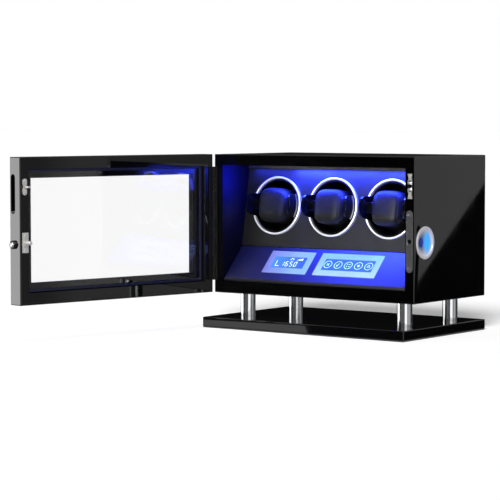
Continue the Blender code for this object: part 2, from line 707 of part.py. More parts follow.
def build_panel(cabinet):
    """Leaning panel with one round hole for each rotor station."""
    middle = add_frame("panel_middle", cabinet, (MIDDLE, PANEL_Y, PANEL_Z), (-PANEL_LEAN, 0, 0))
    half_w = CAB_W / 2 - SIDE_T - CLEAR
    half_h = PANEL_LENGTH / 2
    panel = block("winder_panel", (-half_w, 0, -half_h), (half_w, PANEL_T, half_h), LEATHER, middle)
    first = -(ROTOR_COUNT - 1) / 2
    for index in range(ROTOR_COUNT):
        number = index + 1
        x = (first + index) * ROTOR_PITCH
        station = add_frame(f"station_{number}", middle, (x, 0, 0))
        hole = bore(f"cut_station_{number}", PANEL_HOLE_R, -PAST, PANEL_T + PAST, 30, "Y", station)
        carve(panel, hole)
        build_rotor(number, station)
        build_drive(number, station)


def hinge_leaf(name, width, owned, height_side, finish, parent):
    """Comb-shaped leaf with its own knuckles; height_side is +1 for the cabinet's leaf, -1 for the door's.

    It owns every knuckle whose number, counted from the foot, leaves the remainder owned when halved.
    """
    foot = (CAB_H - HINGE_L) / 2
    step = HINGE_L / KNUCKLES
    near = HINGE_BORE_R + KNUCKLE_ROOT
    clear_x = HINGE_BARREL_R + KNUCKLE_GAP
    outline = [(width, foot + HINGE_L), (width, foot)]
    for k in range(KNUCKLES):
        x = near if k % 2 == owned else clear_x
        low = foot + k * step + (CLEAR / 2 if k % 2 == owned else -CLEAR / 2)
        high = foot + (k + 1) * step - (CLEAR / 2 if k % 2 == owned else -CLEAR / 2)
        low = max(low, foot)
        high = min(high, foot + HINGE_L)
        outline.append((x, low))
        outline.append((x, high))
    outer = DOOR_GAP / 2 - CLEAR
    sides = sorted((height_side * outer, height_side * (outer - HINGE_LEAF_T)))
    leaf = prism(name, outline, sides[0], sides[1], finish, "Y", parent)
    bm = bmesh.new()
    for k in range(KNUCKLES):
        if k % 2 == owned:
            low = foot + k * step + CLEAR / 2
            high = foot + (k + 1) * step - CLEAR / 2
            tube = [(HINGE_BORE_R, low), (HINGE_BARREL_R, low), (HINGE_BARREL_R, high), (HINGE_BORE_R, high)]
            add_turned(bm, tube, 8, "Z")
    combine(leaf, add_object("knuckles_" + name, bm, None, parent), "UNION")


def build_hinge(hinge_line, door):
    """Continuous hinge in the gap between cabinet and door, on the cabinet's left edge."""
    hinge_leaf("hinge_leaf_cabinet", HINGE_CAB_LEAF, 0, 1, STEEL, hinge_line)
    hinge_leaf("hinge_leaf_door", HINGE_DOOR_LEAF, 1, -1, STEEL, door)
    foot = (CAB_H - HINGE_L) / 2
    pin = [(0, foot), (HINGE_PIN_R, foot), (HINGE_PIN_R, foot + HINGE_L), (0, foot + HINGE_L)]
    turned("hinge_pin", pin, STEEL, 12, "Z", hinge_line)


def build_door_frame(door):
    """Lacquered door frame with a stepped opening, a finger pull and the key cylinder's bore."""
    frame = block("door_frame", (0, DOOR_OUT, 0), (CAB_W, DOOR_IN, CAB_H), LACQUER, door)
    round_edges(frame, EDGE_R)
    ledge = DOOR_IN - REVEAL_DEPTH
    reveal = block("cut_reveal", (REVEAL_SIDE, ledge, REVEAL_FOOT),
                   (CAB_W - REVEAL_SIDE, DOOR_IN + PAST, CAB_H - REVEAL_FOOT), None, door)
    side = REVEAL_SIDE + LIP_W
    foot = REVEAL_FOOT + LIP_W
    sight = block("cut_sight", (side, DOOR_OUT - PAST, foot), (CAB_W - side, DOOR_IN + PAST, CAB_H - foot),
                  None, door)
    pull = slot_outline(DOOR_IN - PULL_FROM_INSIDE, PULL_Z, PULL_W, PULL_L)
    pull_cut = prism("cut_pull", pull, CAB_W - PULL_DEPTH, CAB_W + PAST, None, "X", door)
    key_at = (0, DOOR_IN - KEY_FROM_INSIDE, KEY_Z)
    key_cut = bore("cut_key", KEY_SHANK_R + CLEAR, CAB_W - KEY_SHANK_L - CLEAR, CAB_W + PAST, 16, "X", door,
                   key_at)
    carve(frame, reveal, sight, pull_cut, key_cut)


def build_glazing(door):
    """Glass on the frame's ledge, and the bead that holds it."""
    ledge = DOOR_IN - REVEAL_DEPTH
    low_x = REVEAL_SIDE + CLEAR
    high_x = CAB_W - REVEAL_SIDE - CLEAR
    low_z = REVEAL_FOOT + CLEAR
    high_z = CAB_H - REVEAL_FOOT - CLEAR
    glass_in = ledge + CLEAR + GLASS_T
    block("door_glass", (low_x, ledge + CLEAR, low_z), (high_x, glass_in, high_z), GLASS, door)
    bead_low = glass_in + CLEAR
    bead_high = bead_low + BEAD
    bead = block("glazing_bead", (low_x, bead_low, low_z), (high_x, bead_high, high_z), GLOSS_BLACK, door)
    window = block("cut_bead", (low_x + BEAD, bead_low - PAST, low_z + BEAD),
                   (high_x - BEAD, bead_high + PAST, high_z - BEAD), None, door)
    carve(bead, window)


def build_key(door):
    """Backup key cylinder in the door's free edge, with a plug that turns."""
    at = (0, DOOR_IN - KEY_FROM_INSIDE, KEY_Z)
    start = CAB_W - KEY_SHANK_L
    face = CAB_W + CLEAR
    end = face + KEY_HEAD_L
    socket = KEY_PLUG_R + CLEAR
    floor = start + KEY_FLOOR
    barrel = [(0, start), (KEY_SHANK_R, start), (KEY_SHANK_R, face), (KEY_HEAD_R, face), (KEY_HEAD_R, end),
              (socket, end), (socket, floor), (0, floor)]
    turned("key_barrel", barrel, CHROME, 16, "X", door, at)
    low = floor + CLEAR
    outline = [(0, low), (KEY_PLUG_R, low), (KEY_PLUG_R, end), (0, end)]
    plug = turned("key_plug", outline, STEEL, 16, "X", door, at)
    slot_h = KEY_SLOT_L / 2
    slot = block("cut_keyway", (end - KEY_SLOT_DEPTH, -KEY_SLOT / 2, -slot_h),
                 (end + PAST, KEY_SLOT / 2, slot_h), None, door, at)
    carve(plug, slot)


def build_striker(door):
    """Door's lock striker: plate, foot and grooved pin that enters the lock."""
    y0 = DOOR_IN + CLEAR
    plate_top = y0 + STRIKER_PLATE_T
    half_w = STRIKER_PLATE_W / 2
    half_l = STRIKER_PLATE_L / 2
    plate = block("latch_striker", (LOCK_X - half_w, y0, LOCK_Z - half_l),
                  (LOCK_X + half_w, plate_top, LOCK_Z + half_l), STEEL, door)
    half = STRIKER_FOOT / 2
    foot_top = plate_top + STRIKER_FOOT_T
    foot = block("striker_foot", (LOCK_X - half, y0 + STRIKER_PLATE_T / 2, LOCK_Z - half),
                 (LOCK_X + half, foot_top, LOCK_Z + half), None, door)
    front = DOOR_GAP / 2
    tip = front + STRIKER_IN
    neck = front + NECK_START
    neck_end = neck + NECK_L
    pin = [(0, plate_top), (STRIKER_R, plate_top), (STRIKER_R, neck), (NECK_R, neck), (NECK_R, neck_end),
           (STRIKER_R, neck_end), (STRIKER_R, tip), (0, tip)]
    combine(plate, foot, "UNION")
    combine(plate, turned("striker_pin", pin, None, 12, "Y", door, (LOCK_X, 0, LOCK_Z)), "UNION")


def build_strike(door):
    """Door's catch strike: small plate with a flat tongue that goes between the two balls."""
    y0 = DOOR_IN + CLEAR
    half_w = CATCH_W / 2
    strike = block("catch_strike", (CATCH_X - half_w, y0, CATCH_Z - STRIKE_L / 2),
                   (CATCH_X + half_w, y0 + STRIKE_T, CATCH_Z + STRIKE_L / 2), STEEL, door)
    tongue = block("strike_tongue", (CATCH_X - TONGUE_W / 2, y0 + STRIKE_T / 2, CATCH_Z - TONGUE_T / 2),
                   (CATCH_X + TONGUE_W / 2, DOOR_GAP / 2 + TONGUE_IN, CATCH_Z + TONGUE_T / 2), None, door)
    combine(strike, tongue, "UNION")


def build_lock(cabinet):
    """Faceplate, lock body and motor-driven bolt in the right-hand wall's front edge."""
    hole_r = STRIKER_R + STRIKER_RUN
    body_front = FACE_T + CLEAR
    body_back = body_front + LOCK_BODY_D
    at = (LOCK_X, 0, LOCK_Z)
    outline = slot_outline(LOCK_X, LOCK_Z, FACE_W, FACE_L)
    face = prism("lock_faceplate", outline, 0, FACE_T, STEEL, "Y", cabinet)
    hole_end = STRIKER_IN + STRIKER_RUN
    carve(face, bore("cut_face_hole", hole_r, -PAST, hole_end, 12, "Y", cabinet, at))
    half_w = LOCK_BODY_W / 2
    half_l = LOCK_BODY_L / 2
    body = block("lock_body", (LOCK_X - half_w, body_front, LOCK_Z - half_l),
                 (LOCK_X + half_w, body_back, LOCK_Z + half_l), DARK_PLASTIC, cabinet)
    carve(body, bore("cut_body_hole", hole_r, -PAST, hole_end, 12, "Y", cabinet, at))
    bolt_top = LOCK_Z - STRIKER_R - BOLT_REST
    bolt_y = NECK_START + NECK_L / 2
    channel_w = BOLT_W / 2 + CLEAR
    channel_t = BOLT_T / 2 + CLEAR
    channel = block("cut_channel", (LOCK_X - channel_w, bolt_y - channel_t, bolt_top - BOLT_L - CLEAR),
                    (LOCK_X + channel_w, bolt_y + channel_t, LOCK_Z), None, cabinet)
    carve(body, channel)
    block("lock_bolt", (-BOLT_W / 2, -BOLT_T / 2, -BOLT_L), (BOLT_W / 2, BOLT_T / 2, 0), STEEL, cabinet,
          (LOCK_X, bolt_y, bolt_top))


def build_catch(cabinet):
    """Double ball catch: open-fronted body with a sprung ball above and below the tongue's way in."""
    half_w = CATCH_W / 2
    half_l = CATCH_L / 2
    body = block("catch_body", (CATCH_X - half_w, 0, CATCH_Z - half_l),
                 (CATCH_X + half_w, CATCH_D, CATCH_Z + half_l), STEEL, cabinet)
    room_w = BALL_R + CLEAR
    room_l = BALL_GAP / 2 + 2 * BALL_R + BALL_TRAVEL + CLEAR
    room_d = max(TONGUE_IN, BALL_IN + BALL_R) + CATCH_RUN
    room = block("cut_catch_room", (CATCH_X - room_w, -PAST, CATCH_Z - room_l),
                 (CATCH_X + room_w, room_d, CATCH_Z + room_l), None, cabinet)
    carve(body, room)
    ball_z = BALL_GAP / 2 + BALL_R
    for name, side in (("catch_ball_upper", 1), ("catch_ball_lower", -1)):
        bm = bmesh.new()
        bmesh.ops.create_icosphere(bm, subdivisions=2, radius=BALL_R)
        ball = add_object(name, bm, CHROME, cabinet, (CATCH_X, BALL_IN, CATCH_Z + side * ball_z))
        ball.data.shade_smooth()


def build_reader(cabinet):
    """Fingerprint reader: metal ring with a conical dish, and the round sensor at its bottom."""
    side = CAB_W + CLEAR
    face = side + READER_FLANGE
    floor = CAB_W - DISH_DEPTH
    under = floor - DISH_WALL
    dish = [
        (SENSOR_R + CLEAR, under), (SENSOR_R + DISH_WALL, under), (DISH_R + DISH_WALL, CAB_W),
        (DISH_R + DISH_WALL, side), (READER_R, side), (READER_R, face), (DISH_R, face), (DISH_R, CAB_W),
        (SENSOR_R + CLEAR, floor),
    ]
    turned("fingerprint_ring", dish, STEEL, 30, "X", cabinet, (0, READER_Y, READER_Z))
    sensor = [(0, under), (SENSOR_R, under), (SENSOR_R, under + SENSOR_T), (0, under + SENSOR_T)]
    turned("fingerprint_sensor", sensor, GLOSS_BLACK, 20, "X", cabinet, (0, READER_Y, READER_Z))


def build_watch_winder():
    build_base()
    cabinet = add_frame("cabinet_frame", None, (-MIDDLE, CAB_FRONT_Y, CAB_BOTTOM))
    build_carcass(cabinet)
    build_deck(cabinet)
    build_light(cabinet)
    build_panel(cabinet)
    hinge_line = add_frame("hinge_line", cabinet, (0, HINGE_Y, 0))
    door = add_frame("door_swing", hinge_line, (0, 0, 0), (0, 0, -DOOR_OPEN))
    build_door_frame(door)
    build_glazing(door)
    build_key(door)
    build_striker(door)
    build_strike(door)
    build_hinge(hinge_line, door)
    build_lock(cabinet)
    build_catch(cabinet)
    build_reader(cabinet)


build_watch_winder()
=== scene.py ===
import json
from math import cos, pi, radians, sin

import bpy
from mathutils import Matrix, Vector


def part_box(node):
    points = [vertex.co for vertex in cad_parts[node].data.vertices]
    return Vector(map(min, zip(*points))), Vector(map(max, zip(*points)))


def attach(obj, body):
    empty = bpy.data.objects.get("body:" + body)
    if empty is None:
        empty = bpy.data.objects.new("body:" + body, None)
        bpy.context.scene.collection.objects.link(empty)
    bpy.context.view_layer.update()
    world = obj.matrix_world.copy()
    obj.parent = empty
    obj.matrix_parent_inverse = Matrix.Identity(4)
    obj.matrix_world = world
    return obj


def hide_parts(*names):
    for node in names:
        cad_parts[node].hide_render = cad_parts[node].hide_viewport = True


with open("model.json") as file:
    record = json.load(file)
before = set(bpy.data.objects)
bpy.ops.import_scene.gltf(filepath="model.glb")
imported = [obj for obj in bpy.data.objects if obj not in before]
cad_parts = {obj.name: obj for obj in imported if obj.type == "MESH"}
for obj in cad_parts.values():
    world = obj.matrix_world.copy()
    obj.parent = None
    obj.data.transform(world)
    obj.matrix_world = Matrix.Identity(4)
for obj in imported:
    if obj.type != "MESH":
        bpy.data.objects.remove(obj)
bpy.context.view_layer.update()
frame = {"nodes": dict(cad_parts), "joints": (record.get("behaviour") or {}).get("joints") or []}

mm = 0.001
scene = bpy.context.scene
joints = {joint["name"]: joint for joint in frame["joints"]}


# ---- Felt sheet ----------------------------------------------------------------------------------
# Short-pile needle felt glued under the plinth, so that the box slides without scratching. Its pile
# scatters light, so it is dull from every side.

def linear(code):
    """sRGB hex colour as linear RGBA."""
    parts = [int(code[k:k + 2], 16) / 255 for k in (1, 3, 5)]
    return (*[p / 12.92 if p <= 0.04045 else ((p + 0.055) / 1.055) ** 2.4 for p in parts], 1.0)


def add(tree, kind, inputs=None, **settings):
    """Adds a node with its settings; an input given a socket is linked, any other is set."""
    made = tree.nodes.new(kind)
    for name, value in settings.items():
        setattr(made, name, value)
    for name, value in (inputs or {}).items():
        if isinstance(value, bpy.types.NodeSocket):
            tree.links.new(value, made.inputs[name])
        else:
            made.inputs[name].default_value = value
    return made


def new_material(name, colour, roughness, metallic=0.0, **more):
    """Principled material; more gives further sockets with underscores for spaces."""
    material = bpy.data.materials.new(name)
    material.use_nodes = True
    tree = material.node_tree
    shader = tree.nodes["Principled BSDF"]
    shader.inputs["Base Color"].default_value = linear(colour)
    shader.inputs["Roughness"].default_value = roughness
    shader.inputs["Metallic"].default_value = metallic
    for socket, value in more.items():
        shader.inputs[socket.replace("_", " ")].default_value = value
    return material, tree, shader


def grain(tree, shader, size, depth, detail=4.0, kind="ShaderNodeTexNoise", stretch=(1, 1, 1), strength=1.0):
    """Surface relief from a pattern of the given size in metres, and the pattern's value socket."""
    spot = add(tree, "ShaderNodeTexCoord")
    place = add(tree, "ShaderNodeMapping", {"Vector": spot.outputs["Object"], "Scale": stretch})
    pattern = add(tree, kind, {"Vector": place.outputs["Vector"], "Scale": 1 / size})
    if kind == "ShaderNodeTexNoise":
        pattern.inputs["Detail"].default_value = detail
    value = pattern.outputs[0]
    relief = add(tree, "ShaderNodeBump", {"Height": value, "Distance": depth, "Strength": strength})
    tree.links.new(relief.outputs["Normal"], shader.inputs["Normal"])
    return value


def vary(tree, value, socket, low, high, start=0.3, end=0.7):
    """Drives one shader socket from a pattern, between two values."""
    spread = add(tree, "ShaderNodeMapRange", {"Value": value, "From Min": start, "From Max": end,
                                              "To Min": low, "To Max": high})
    tree.links.new(spread.outputs["Result"], socket)


def tint(tree, value, shader, dark, light, start=0.35, end=0.65):
    """Colour variation between two hex colours, driven by a pattern."""
    ramp = add(tree, "ShaderNodeValToRGB", {"Fac": value})
    ramp.color_ramp.elements[0].position = start
    ramp.color_ramp.elements[0].color = linear(dark)
    ramp.color_ramp.elements[1].position = end
    ramp.color_ramp.elements[1].color = linear(light)
    tree.links.new(ramp.outputs["Color"], shader.inputs["Base Color"])


def dress(node, material):
    """Gives a CAD node that is shown as it is its real finish."""
    slots = frame["nodes"][node].data.materials
    slots.clear()
    slots.append(material)


FELT_FIBRE = 0.4 * mm
# Matted fibres: no gloss at all, lighter where they stand up. Drawn coarser than the real
# 0.02 mm fibre so that they show.
needle_felt, tree, shader = new_material("needle_felt", "#141415", roughness=0.95, Sheen_Weight=0.4)
fibres = grain(tree, shader, size=FELT_FIBRE, depth=0.2 * mm, detail=8.0)
tint(tree, fibres, shader, "#0E0E0F", "#26262A")


# ---- Plinth --------------------------------------------------------------------------------------
# A solid MDF board sprayed with black polyester lacquer, flatted and buffed to a mirror, with its
# edges eased by hand. The posts stand on it.

def select_none():
    if bpy.context.object and bpy.context.object.mode != "OBJECT":
        bpy.ops.object.mode_set(mode="OBJECT")
    bpy.ops.object.select_all(action="DESELECT")


def select_only(piece):
    select_none()
    piece.select_set(True)
    bpy.context.view_layer.objects.active = piece


def modify(piece, kind, **settings):
    """Adds one modifier and applies it."""
    select_only(piece)
    step = piece.modifiers.new(kind.title(), kind)
    for name, value in settings.items():
        setattr(step, name, value)
    bpy.ops.object.modifier_apply(modifier=step.name)


def ease(piece, width, segments=3, angle=40):
    """Rounds every sharp edge of a piece."""
    modify(piece, "BEVEL", width=width, segments=segments, limit_method="ANGLE", angle_limit=radians(angle),
           use_clamp_overlap=True)


def slab(name, low, high):
    """Block between two opposite corners, ready to be shaped."""
    select_none()
    low, high = Vector(low), Vector(high)
    bpy.ops.mesh.primitive_cube_add(size=1, location=(low + high) / 2)
    piece = bpy.context.object
    piece.name = name
    piece.scale = high - low
    bpy.ops.object.transform_apply(location=True, rotation=True, scale=True)
    return piece


def cut(piece, *cutters):
    """Takes the cutters out of the piece, and takes the cutters away."""
    for cutter in cutters:
        modify(piece, "BOOLEAN", operation="DIFFERENCE", solver="EXACT", object=cutter)
        bpy.data.objects.remove(cutter, do_unlink=True)


def join(name, pieces):
    """Puts several separate pieces into one object."""
    select_none()
    for piece in pieces:
        piece.select_set(True)
    bpy.context.view_layer.objects.active = pieces[0]
    if len(pieces) > 1:
        bpy.ops.object.join()
    pieces[0].name = name
    return pieces[0]


def seat(piece, body, material, nodes=(), place=None, smooth=35):
    """Puts a finished piece in its place, with its finish, on the body it rides on.

    Weighted normals keep the flat faces flat beside their rounded edges.
    """
    select_only(piece)
    if place is not None:
        piece.matrix_world = place @ piece.matrix_world
    bpy.ops.object.transform_apply(location=True, rotation=True, scale=True)
    if smooth:
        bpy.ops.object.shade_smooth_by_angle(angle=radians(smooth))
        if smooth < 60:
            modify(piece, "WEIGHTED_NORMAL", weight=100, keep_sharp=True)
    if material is not None:
        piece.data.materials.clear()
        piece.data.materials.append(material)
    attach(piece, body)
    if nodes:
        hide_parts(*nodes)
    return piece


EDGE_EASE = 1.2 * mm
PEEL = 5 * mm                 # faint waviness left by spraying
POLISH_HAZE = 45 * mm         # patches that the buffing wheel left slightly less bright
# Buffed polyester lacquer: deep black with sharp reflections, which waver a little where the
# spray left its peel and dull slightly where the wheel left haze.
piano_lacquer, tree, shader = new_material("piano_lacquer", "#050506", roughness=0.02, Coat_Weight=0.5,
                                           Coat_Roughness=0.0)
grain(tree, shader, size=PEEL, depth=0.0015 * mm, detail=1.0)
spot = add(tree, "ShaderNodeTexCoord")
haze = add(tree, "ShaderNodeTexNoise", {"Vector": spot.outputs["Object"], "Scale": 1 / POLISH_HAZE,
                                        "Detail": 3.0})
vary(tree, haze.outputs[0], shader.inputs["Roughness"], low=0.005, high=0.03)

plinth = slab("plinth_board", *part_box("base_plinth"))
ease(plinth, EDGE_EASE, 5)
seat(plinth, "cabinet", piano_lacquer, ["base_plinth"])

plinth_low, plinth_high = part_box("base_plinth")
felt_low, felt_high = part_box("base_felt")
FELT_INSET = 0.3 * mm
felt = slab("felt_sheet", (plinth_low.x + FELT_INSET, plinth_low.y + FELT_INSET, felt_low.z),
            (plinth_high.x - FELT_INSET, plinth_high.y - FELT_INSET, felt_high.z))
ease(felt, 0.2 * mm, 2)
seat(felt, "cabinet", needle_felt, ["base_felt"])


# ---- Posts ---------------------------------------------------------------------------------------
# Four lengths of stainless bar, turned and polished along their length, with a small chamfer at both
# ends. Fine turning lines run round them and draw the reflections out.

def draw_outline(name, points):
    """Open chain of edges through points, made by extruding one vertex on and on."""
    select_none()
    bpy.ops.mesh.primitive_plane_add(size=1, location=(0, 0, 0))
    piece = bpy.context.object
    piece.name = name
    bpy.ops.object.mode_set(mode="EDIT")
    bpy.ops.mesh.merge(type="CENTER")
    bpy.ops.transform.translate(value=points[0])
    for before, after in zip(points, points[1:]):
        step = Vector(after) - Vector(before)
        bpy.ops.mesh.extrude_vertices_move(TRANSFORM_OT_translate={"value": step})
    return piece


MERGE = 0.00001               # points closer than 0.01 mm become one


def lathe(name, outline, steps=64, axis="Y"):
    """Body turned from a closed outline of (radius, distance along the axis) in metres."""
    ends = {"X": (1, 0, 0), "Y": (0, 1, 0), "Z": (0, 0, 1)}
    def point(radius, along):
        if axis == "X":
            return (along, radius, 0)
        if axis == "Y":
            return (radius, along, 0)
        return (radius, 0, along)
    points = [point(*pair) for pair in outline]
    if outline[0][0] > 0 or outline[-1][0] > 0:
        points.append(points[0])
    piece = draw_outline(name, points)
    bpy.ops.mesh.select_all(action="SELECT")
    bpy.ops.mesh.spin(steps=steps, angle=2 * pi, center=(0, 0, 0), axis=ends[axis])
    bpy.ops.mesh.select_all(action="SELECT")
    bpy.ops.mesh.remove_doubles(threshold=MERGE)
    bpy.ops.mesh.normals_make_consistent(inside=False)
    bpy.ops.object.mode_set(mode="OBJECT")
    return piece


def extrude_outline(name, points, step):
    """Solid with a closed flat outline, pushed along step."""
    piece = draw_outline(name, [*points, points[0]])
    bpy.ops.mesh.select_all(action="SELECT")
    bpy.ops.mesh.remove_doubles(threshold=MERGE)
    bpy.ops.mesh.select_all(action="SELECT")
    bpy.ops.mesh.edge_face_add()
    bpy.ops.mesh.extrude_region_move(TRANSFORM_OT_translate={"value": step})
    bpy.ops.mesh.select_all(action="SELECT")
    bpy.ops.mesh.normals_make_consistent(inside=False)
    bpy.ops.object.mode_set(mode="OBJECT")
    return piece


POST_CHAMFER = 0.15 * mm
FIT = 0.3 * mm
TURNING_LINES = 0.35 * mm     # drawn coarser than the real 0.05 mm so that they show
# Polished bar: bright streaks along the post, spread sideways by the turning lines.
polished_steel, tree, shader = new_material("polished_stainless_bar", "#D2D3D5", roughness=0.07, metallic=1.0,
                                            Anisotropic=0.4)
lines = grain(tree, shader, size=TURNING_LINES, depth=0.003 * mm, detail=2.0, stretch=(0.02, 0.02, 1))
vary(tree, lines, shader.inputs["Roughness"], low=0.05, high=0.12)

for corner in ("front_left", "front_right", "back_left", "back_right"):
    low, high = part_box("post_" + corner)
    centre = (low + high) / 2
    radius = (high.y - low.y) / 2
    low.z -= FIT               # the bar stands on the plinth and carries the cabinet without a gap
    tall = high.z + FIT - low.z
    outline = [(0, 0), (radius - POST_CHAMFER, 0), (radius, POST_CHAMFER), (radius, tall - POST_CHAMFER),
               (radius - POST_CHAMFER, tall), (0, tall)]
    post = lathe(f"steel_post_{corner}", outline, 64, "Z")
    seat(post, "cabinet", polished_steel, ["post_" + corner],
         Matrix.Translation((centre.x, centre.y, low.z)))


# ---- Cabinet carcass -----------------------------------------------------------------------------
# Six MDF boards glued at their edges, lacquered outside like the plinth and lined inside with thin
# satin leatherette. Pockets in the right-hand wall take the lock, the catch and the reader.

SIDE_T = 15 * mm
FLOOR_T = 17.6 * mm
ROOF_T = 16 * mm
LINING_GRAIN = 0.7 * mm
# Calendered leatherette: a fine pebble grain with a dark satin sheen.
lining, tree, shader = new_material("lining_leatherette", "#0B0B10", roughness=0.45, Specular_IOR_Level=0.25)
cells = grain(tree, shader, size=LINING_GRAIN, depth=0.05 * mm, kind="ShaderNodeTexVoronoi")
vary(tree, cells, shader.inputs["Roughness"], low=0.32, high=0.5, start=0.0, end=0.6)

cab_low, cab_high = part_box("cabinet_shell")
cab_size = cab_high - cab_low
cabinet_place = Matrix.Translation(cab_low)


def stadium(middle_a, middle_b, width, length, steps=12):
    """Points of an upright slot with half-round ends."""
    radius = width / 2
    straight = length / 2 - radius
    points = []
    for end in (1, -1):
        for k in range(steps + 1):
            angle = pi * k / steps + (0 if end > 0 else pi)
            points.append((middle_a + radius * cos(angle), middle_b + end * straight + radius * sin(angle)))
    return points


def upright(points, depth):
    """(X, Z) points put in the plane at that depth."""
    return [(x, depth, z) for x, z in points]


face_low, face_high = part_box("lock_faceplate")
lock_low, lock_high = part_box("lock_body")
catch_low, catch_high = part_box("catch_body")
reader_low, reader_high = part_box("fingerprint_ring")
reader_at = (reader_low + reader_high) / 2
gap = Vector((FIT, FIT, FIT))
ahead = Vector((0, 20 * mm, 0))

shell = slab("cabinet_carcass", cab_low, cab_high)
ease(shell, EDGE_EASE, 5)
past = 10 * mm                # how far a cutter runs on outside the wood
room_low = Vector((cab_low.x + SIDE_T, cab_low.y - past, cab_low.z + FLOOR_T))
room_high = Vector((cab_high.x - SIDE_T, cab_high.y + past, cab_high.z - ROOF_T))
back_low, back_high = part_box("back_panel")
face_points = stadium((face_low.x + face_high.x) / 2, (face_low.z + face_high.z) / 2,
                      face_high.x - face_low.x + 2 * FIT, face_high.z - face_low.z + 2 * FIT)
face_cut = extrude_outline("cut_face", upright(face_points, cab_low.y - past),
                           (0, past + face_high.y - face_low.y + FIT, 0))
DISH_R = 19 * mm
SENSOR_R = 6.5 * mm
DISH_WALL = 1.2 * mm
dish_under = reader_low.x
cone = [(0, -0.02), (3 * mm, -0.02), (3 * mm, dish_under - FIT - cab_high.x),
        (SENSOR_R + DISH_WALL + FIT, dish_under - FIT - cab_high.x), (DISH_R + DISH_WALL + FIT, 0),
        (DISH_R + DISH_WALL + FIT, past), (0, past)]
reader_cut = lathe("cut_reader", cone, 64, "X")
reader_cut.location = (cab_high.x, reader_at.y, reader_at.z)
cut(shell, slab("cut_room", room_low, room_high),
    slab("cut_back", (back_low.x - FIT, back_low.y - FIT, back_low.z - FIT),
         (back_high.x + FIT, cab_high.y + past, back_high.z + FIT)),
    face_cut, slab("cut_lock", lock_low - gap - ahead, lock_high + gap),
    slab("cut_catch", catch_low - gap - ahead, catch_high + gap), reader_cut)
seat(shell, "cabinet", piano_lacquer, ["cabinet_shell"])
shell.data.materials.append(lining)
for face in shell.data.polygons:
    middle = face.center
    inside = (room_low.x - mm < middle.x < room_high.x + mm and room_low.z - mm < middle.z < room_high.z + mm)
    if inside and cab_low.y + mm < middle.y < back_low.y:
        face.material_index = 1


# ---- Back panel and power inlet ------------------------------------------------------------------
# Black melamine board let into a rebate and held by eight pan-head screws. The round low-voltage
# inlet is moulded in black nylon with a brass pin in its middle.

MELAMINE_GRAIN = 0.8 * mm
# Pressed melamine: flat matt black with shallow pores.
melamine, tree, shader = new_material("black_melamine", "#0D0D0E", roughness=0.55)
pores = grain(tree, shader, size=MELAMINE_GRAIN, depth=0.04 * mm, detail=6.0)
vary(tree, pores, shader.inputs["Roughness"], low=0.45, high=0.65)
back = slab("back_board", back_low, back_high)
ease(back, 0.6 * mm, 2)
jack_low, jack_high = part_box("dc_jack")
jack_at = (jack_low + jack_high) / 2
jack_r = (jack_high.x - jack_low.x) / 2 - 2 * mm
hole = lathe("cut_jack", [(0, -0.03), (jack_r + FIT, -0.03), (jack_r + FIT, 0.03), (0, 0.03)], 48, "Y")
hole.location = jack_at
cut(back, hole)
seat(back, "cabinet", melamine, ["back_panel"])

# Moulded nylon: even satin black.
nylon, tree, shader = new_material("moulded_nylon", "#101012", roughness=0.35)
grain(tree, shader, size=0.5 * mm, depth=0.01 * mm, detail=3.0)
depth = jack_high.y - jack_low.y
socket_r = jack_r - 2 * mm
flange = jack_r + 2 * mm
lip = 1.5 * mm
outline = [(0, 0), (jack_r, 0), (jack_r, depth - lip), (flange - 0.3 * mm, depth - lip),
           (flange, depth - lip / 2),
           (flange - 0.5 * mm, depth), (socket_r + 0.4 * mm, depth), (socket_r, depth - 0.4 * mm),
           (socket_r, 2 * mm), (0, 2 * mm)]
inlet = lathe("power_inlet", outline, 48, "Y")
seat(inlet, "cabinet", nylon, ["dc_jack"],
     Matrix.Translation((jack_at.x, jack_low.y, jack_at.z)))

# Turned brass: warm yellow with fine rings, drawn coarser than the real 0.05 mm.
turned_brass, tree, shader = new_material("turned_brass", "#C9A45C", roughness=0.25, metallic=1.0)
grain(tree, shader, size=0.3 * mm, depth=0.004 * mm, detail=2.0, stretch=(1, 0.05, 1))
pin = lathe("inlet_pin", [(0, 2.1 * mm), (1 * mm, 2.1 * mm), (1 * mm, depth - 2 * mm),
                          (0.6 * mm, depth - 1.4 * mm),
                          (0, depth - 1.2 * mm)], 24, "Y")
seat(pin, "cabinet", turned_brass, (), Matrix.Translation((jack_at.x, jack_low.y, jack_at.z)))

SCREW_R = 2.4 * mm
SCREW_H = 1.3 * mm
# Black zinc plate: dark grey metal with a soft gleam.
zinc, tree, shader = new_material("black_zinc_screw", "#3A3B3E", roughness=0.35, metallic=0.9)
grain(tree, shader, size=0.4 * mm, depth=0.01 * mm, detail=3.0)


def screw_head(radius, height, steps=20):
    """Domed cross-head screw seen from +Y, standing on the plane Y = 0."""
    dome = [(0, -0.2 * mm), (radius * 0.9, -0.2 * mm), (radius, height * 0.35), (radius * 0.75, height * 0.8),
            (radius * 0.35, height), (0, height)]
    head = lathe("head", dome, steps, "Y")
    arm = radius * 0.6
    thick = radius * 0.13
    bars = [slab("bar", (-a, height * 0.45, -b), (a, height + mm, b))
            for a, b in ((arm, thick), (thick, arm))]
    cut(head, *bars)
    return head


def copies(piece, name, places):
    """One object made of the piece repeated at each place; the pattern piece goes away."""
    made = []
    for place in places:
        twin = piece.copy()
        twin.data = piece.data.copy()
        bpy.context.collection.objects.link(twin)
        twin.matrix_world = place @ piece.matrix_world
        made.append(twin)
    bpy.data.objects.remove(piece, do_unlink=True)
    for twin in made:
        select_only(twin)
        bpy.ops.object.transform_apply(location=True, rotation=True, scale=True)
    return join(name, made)


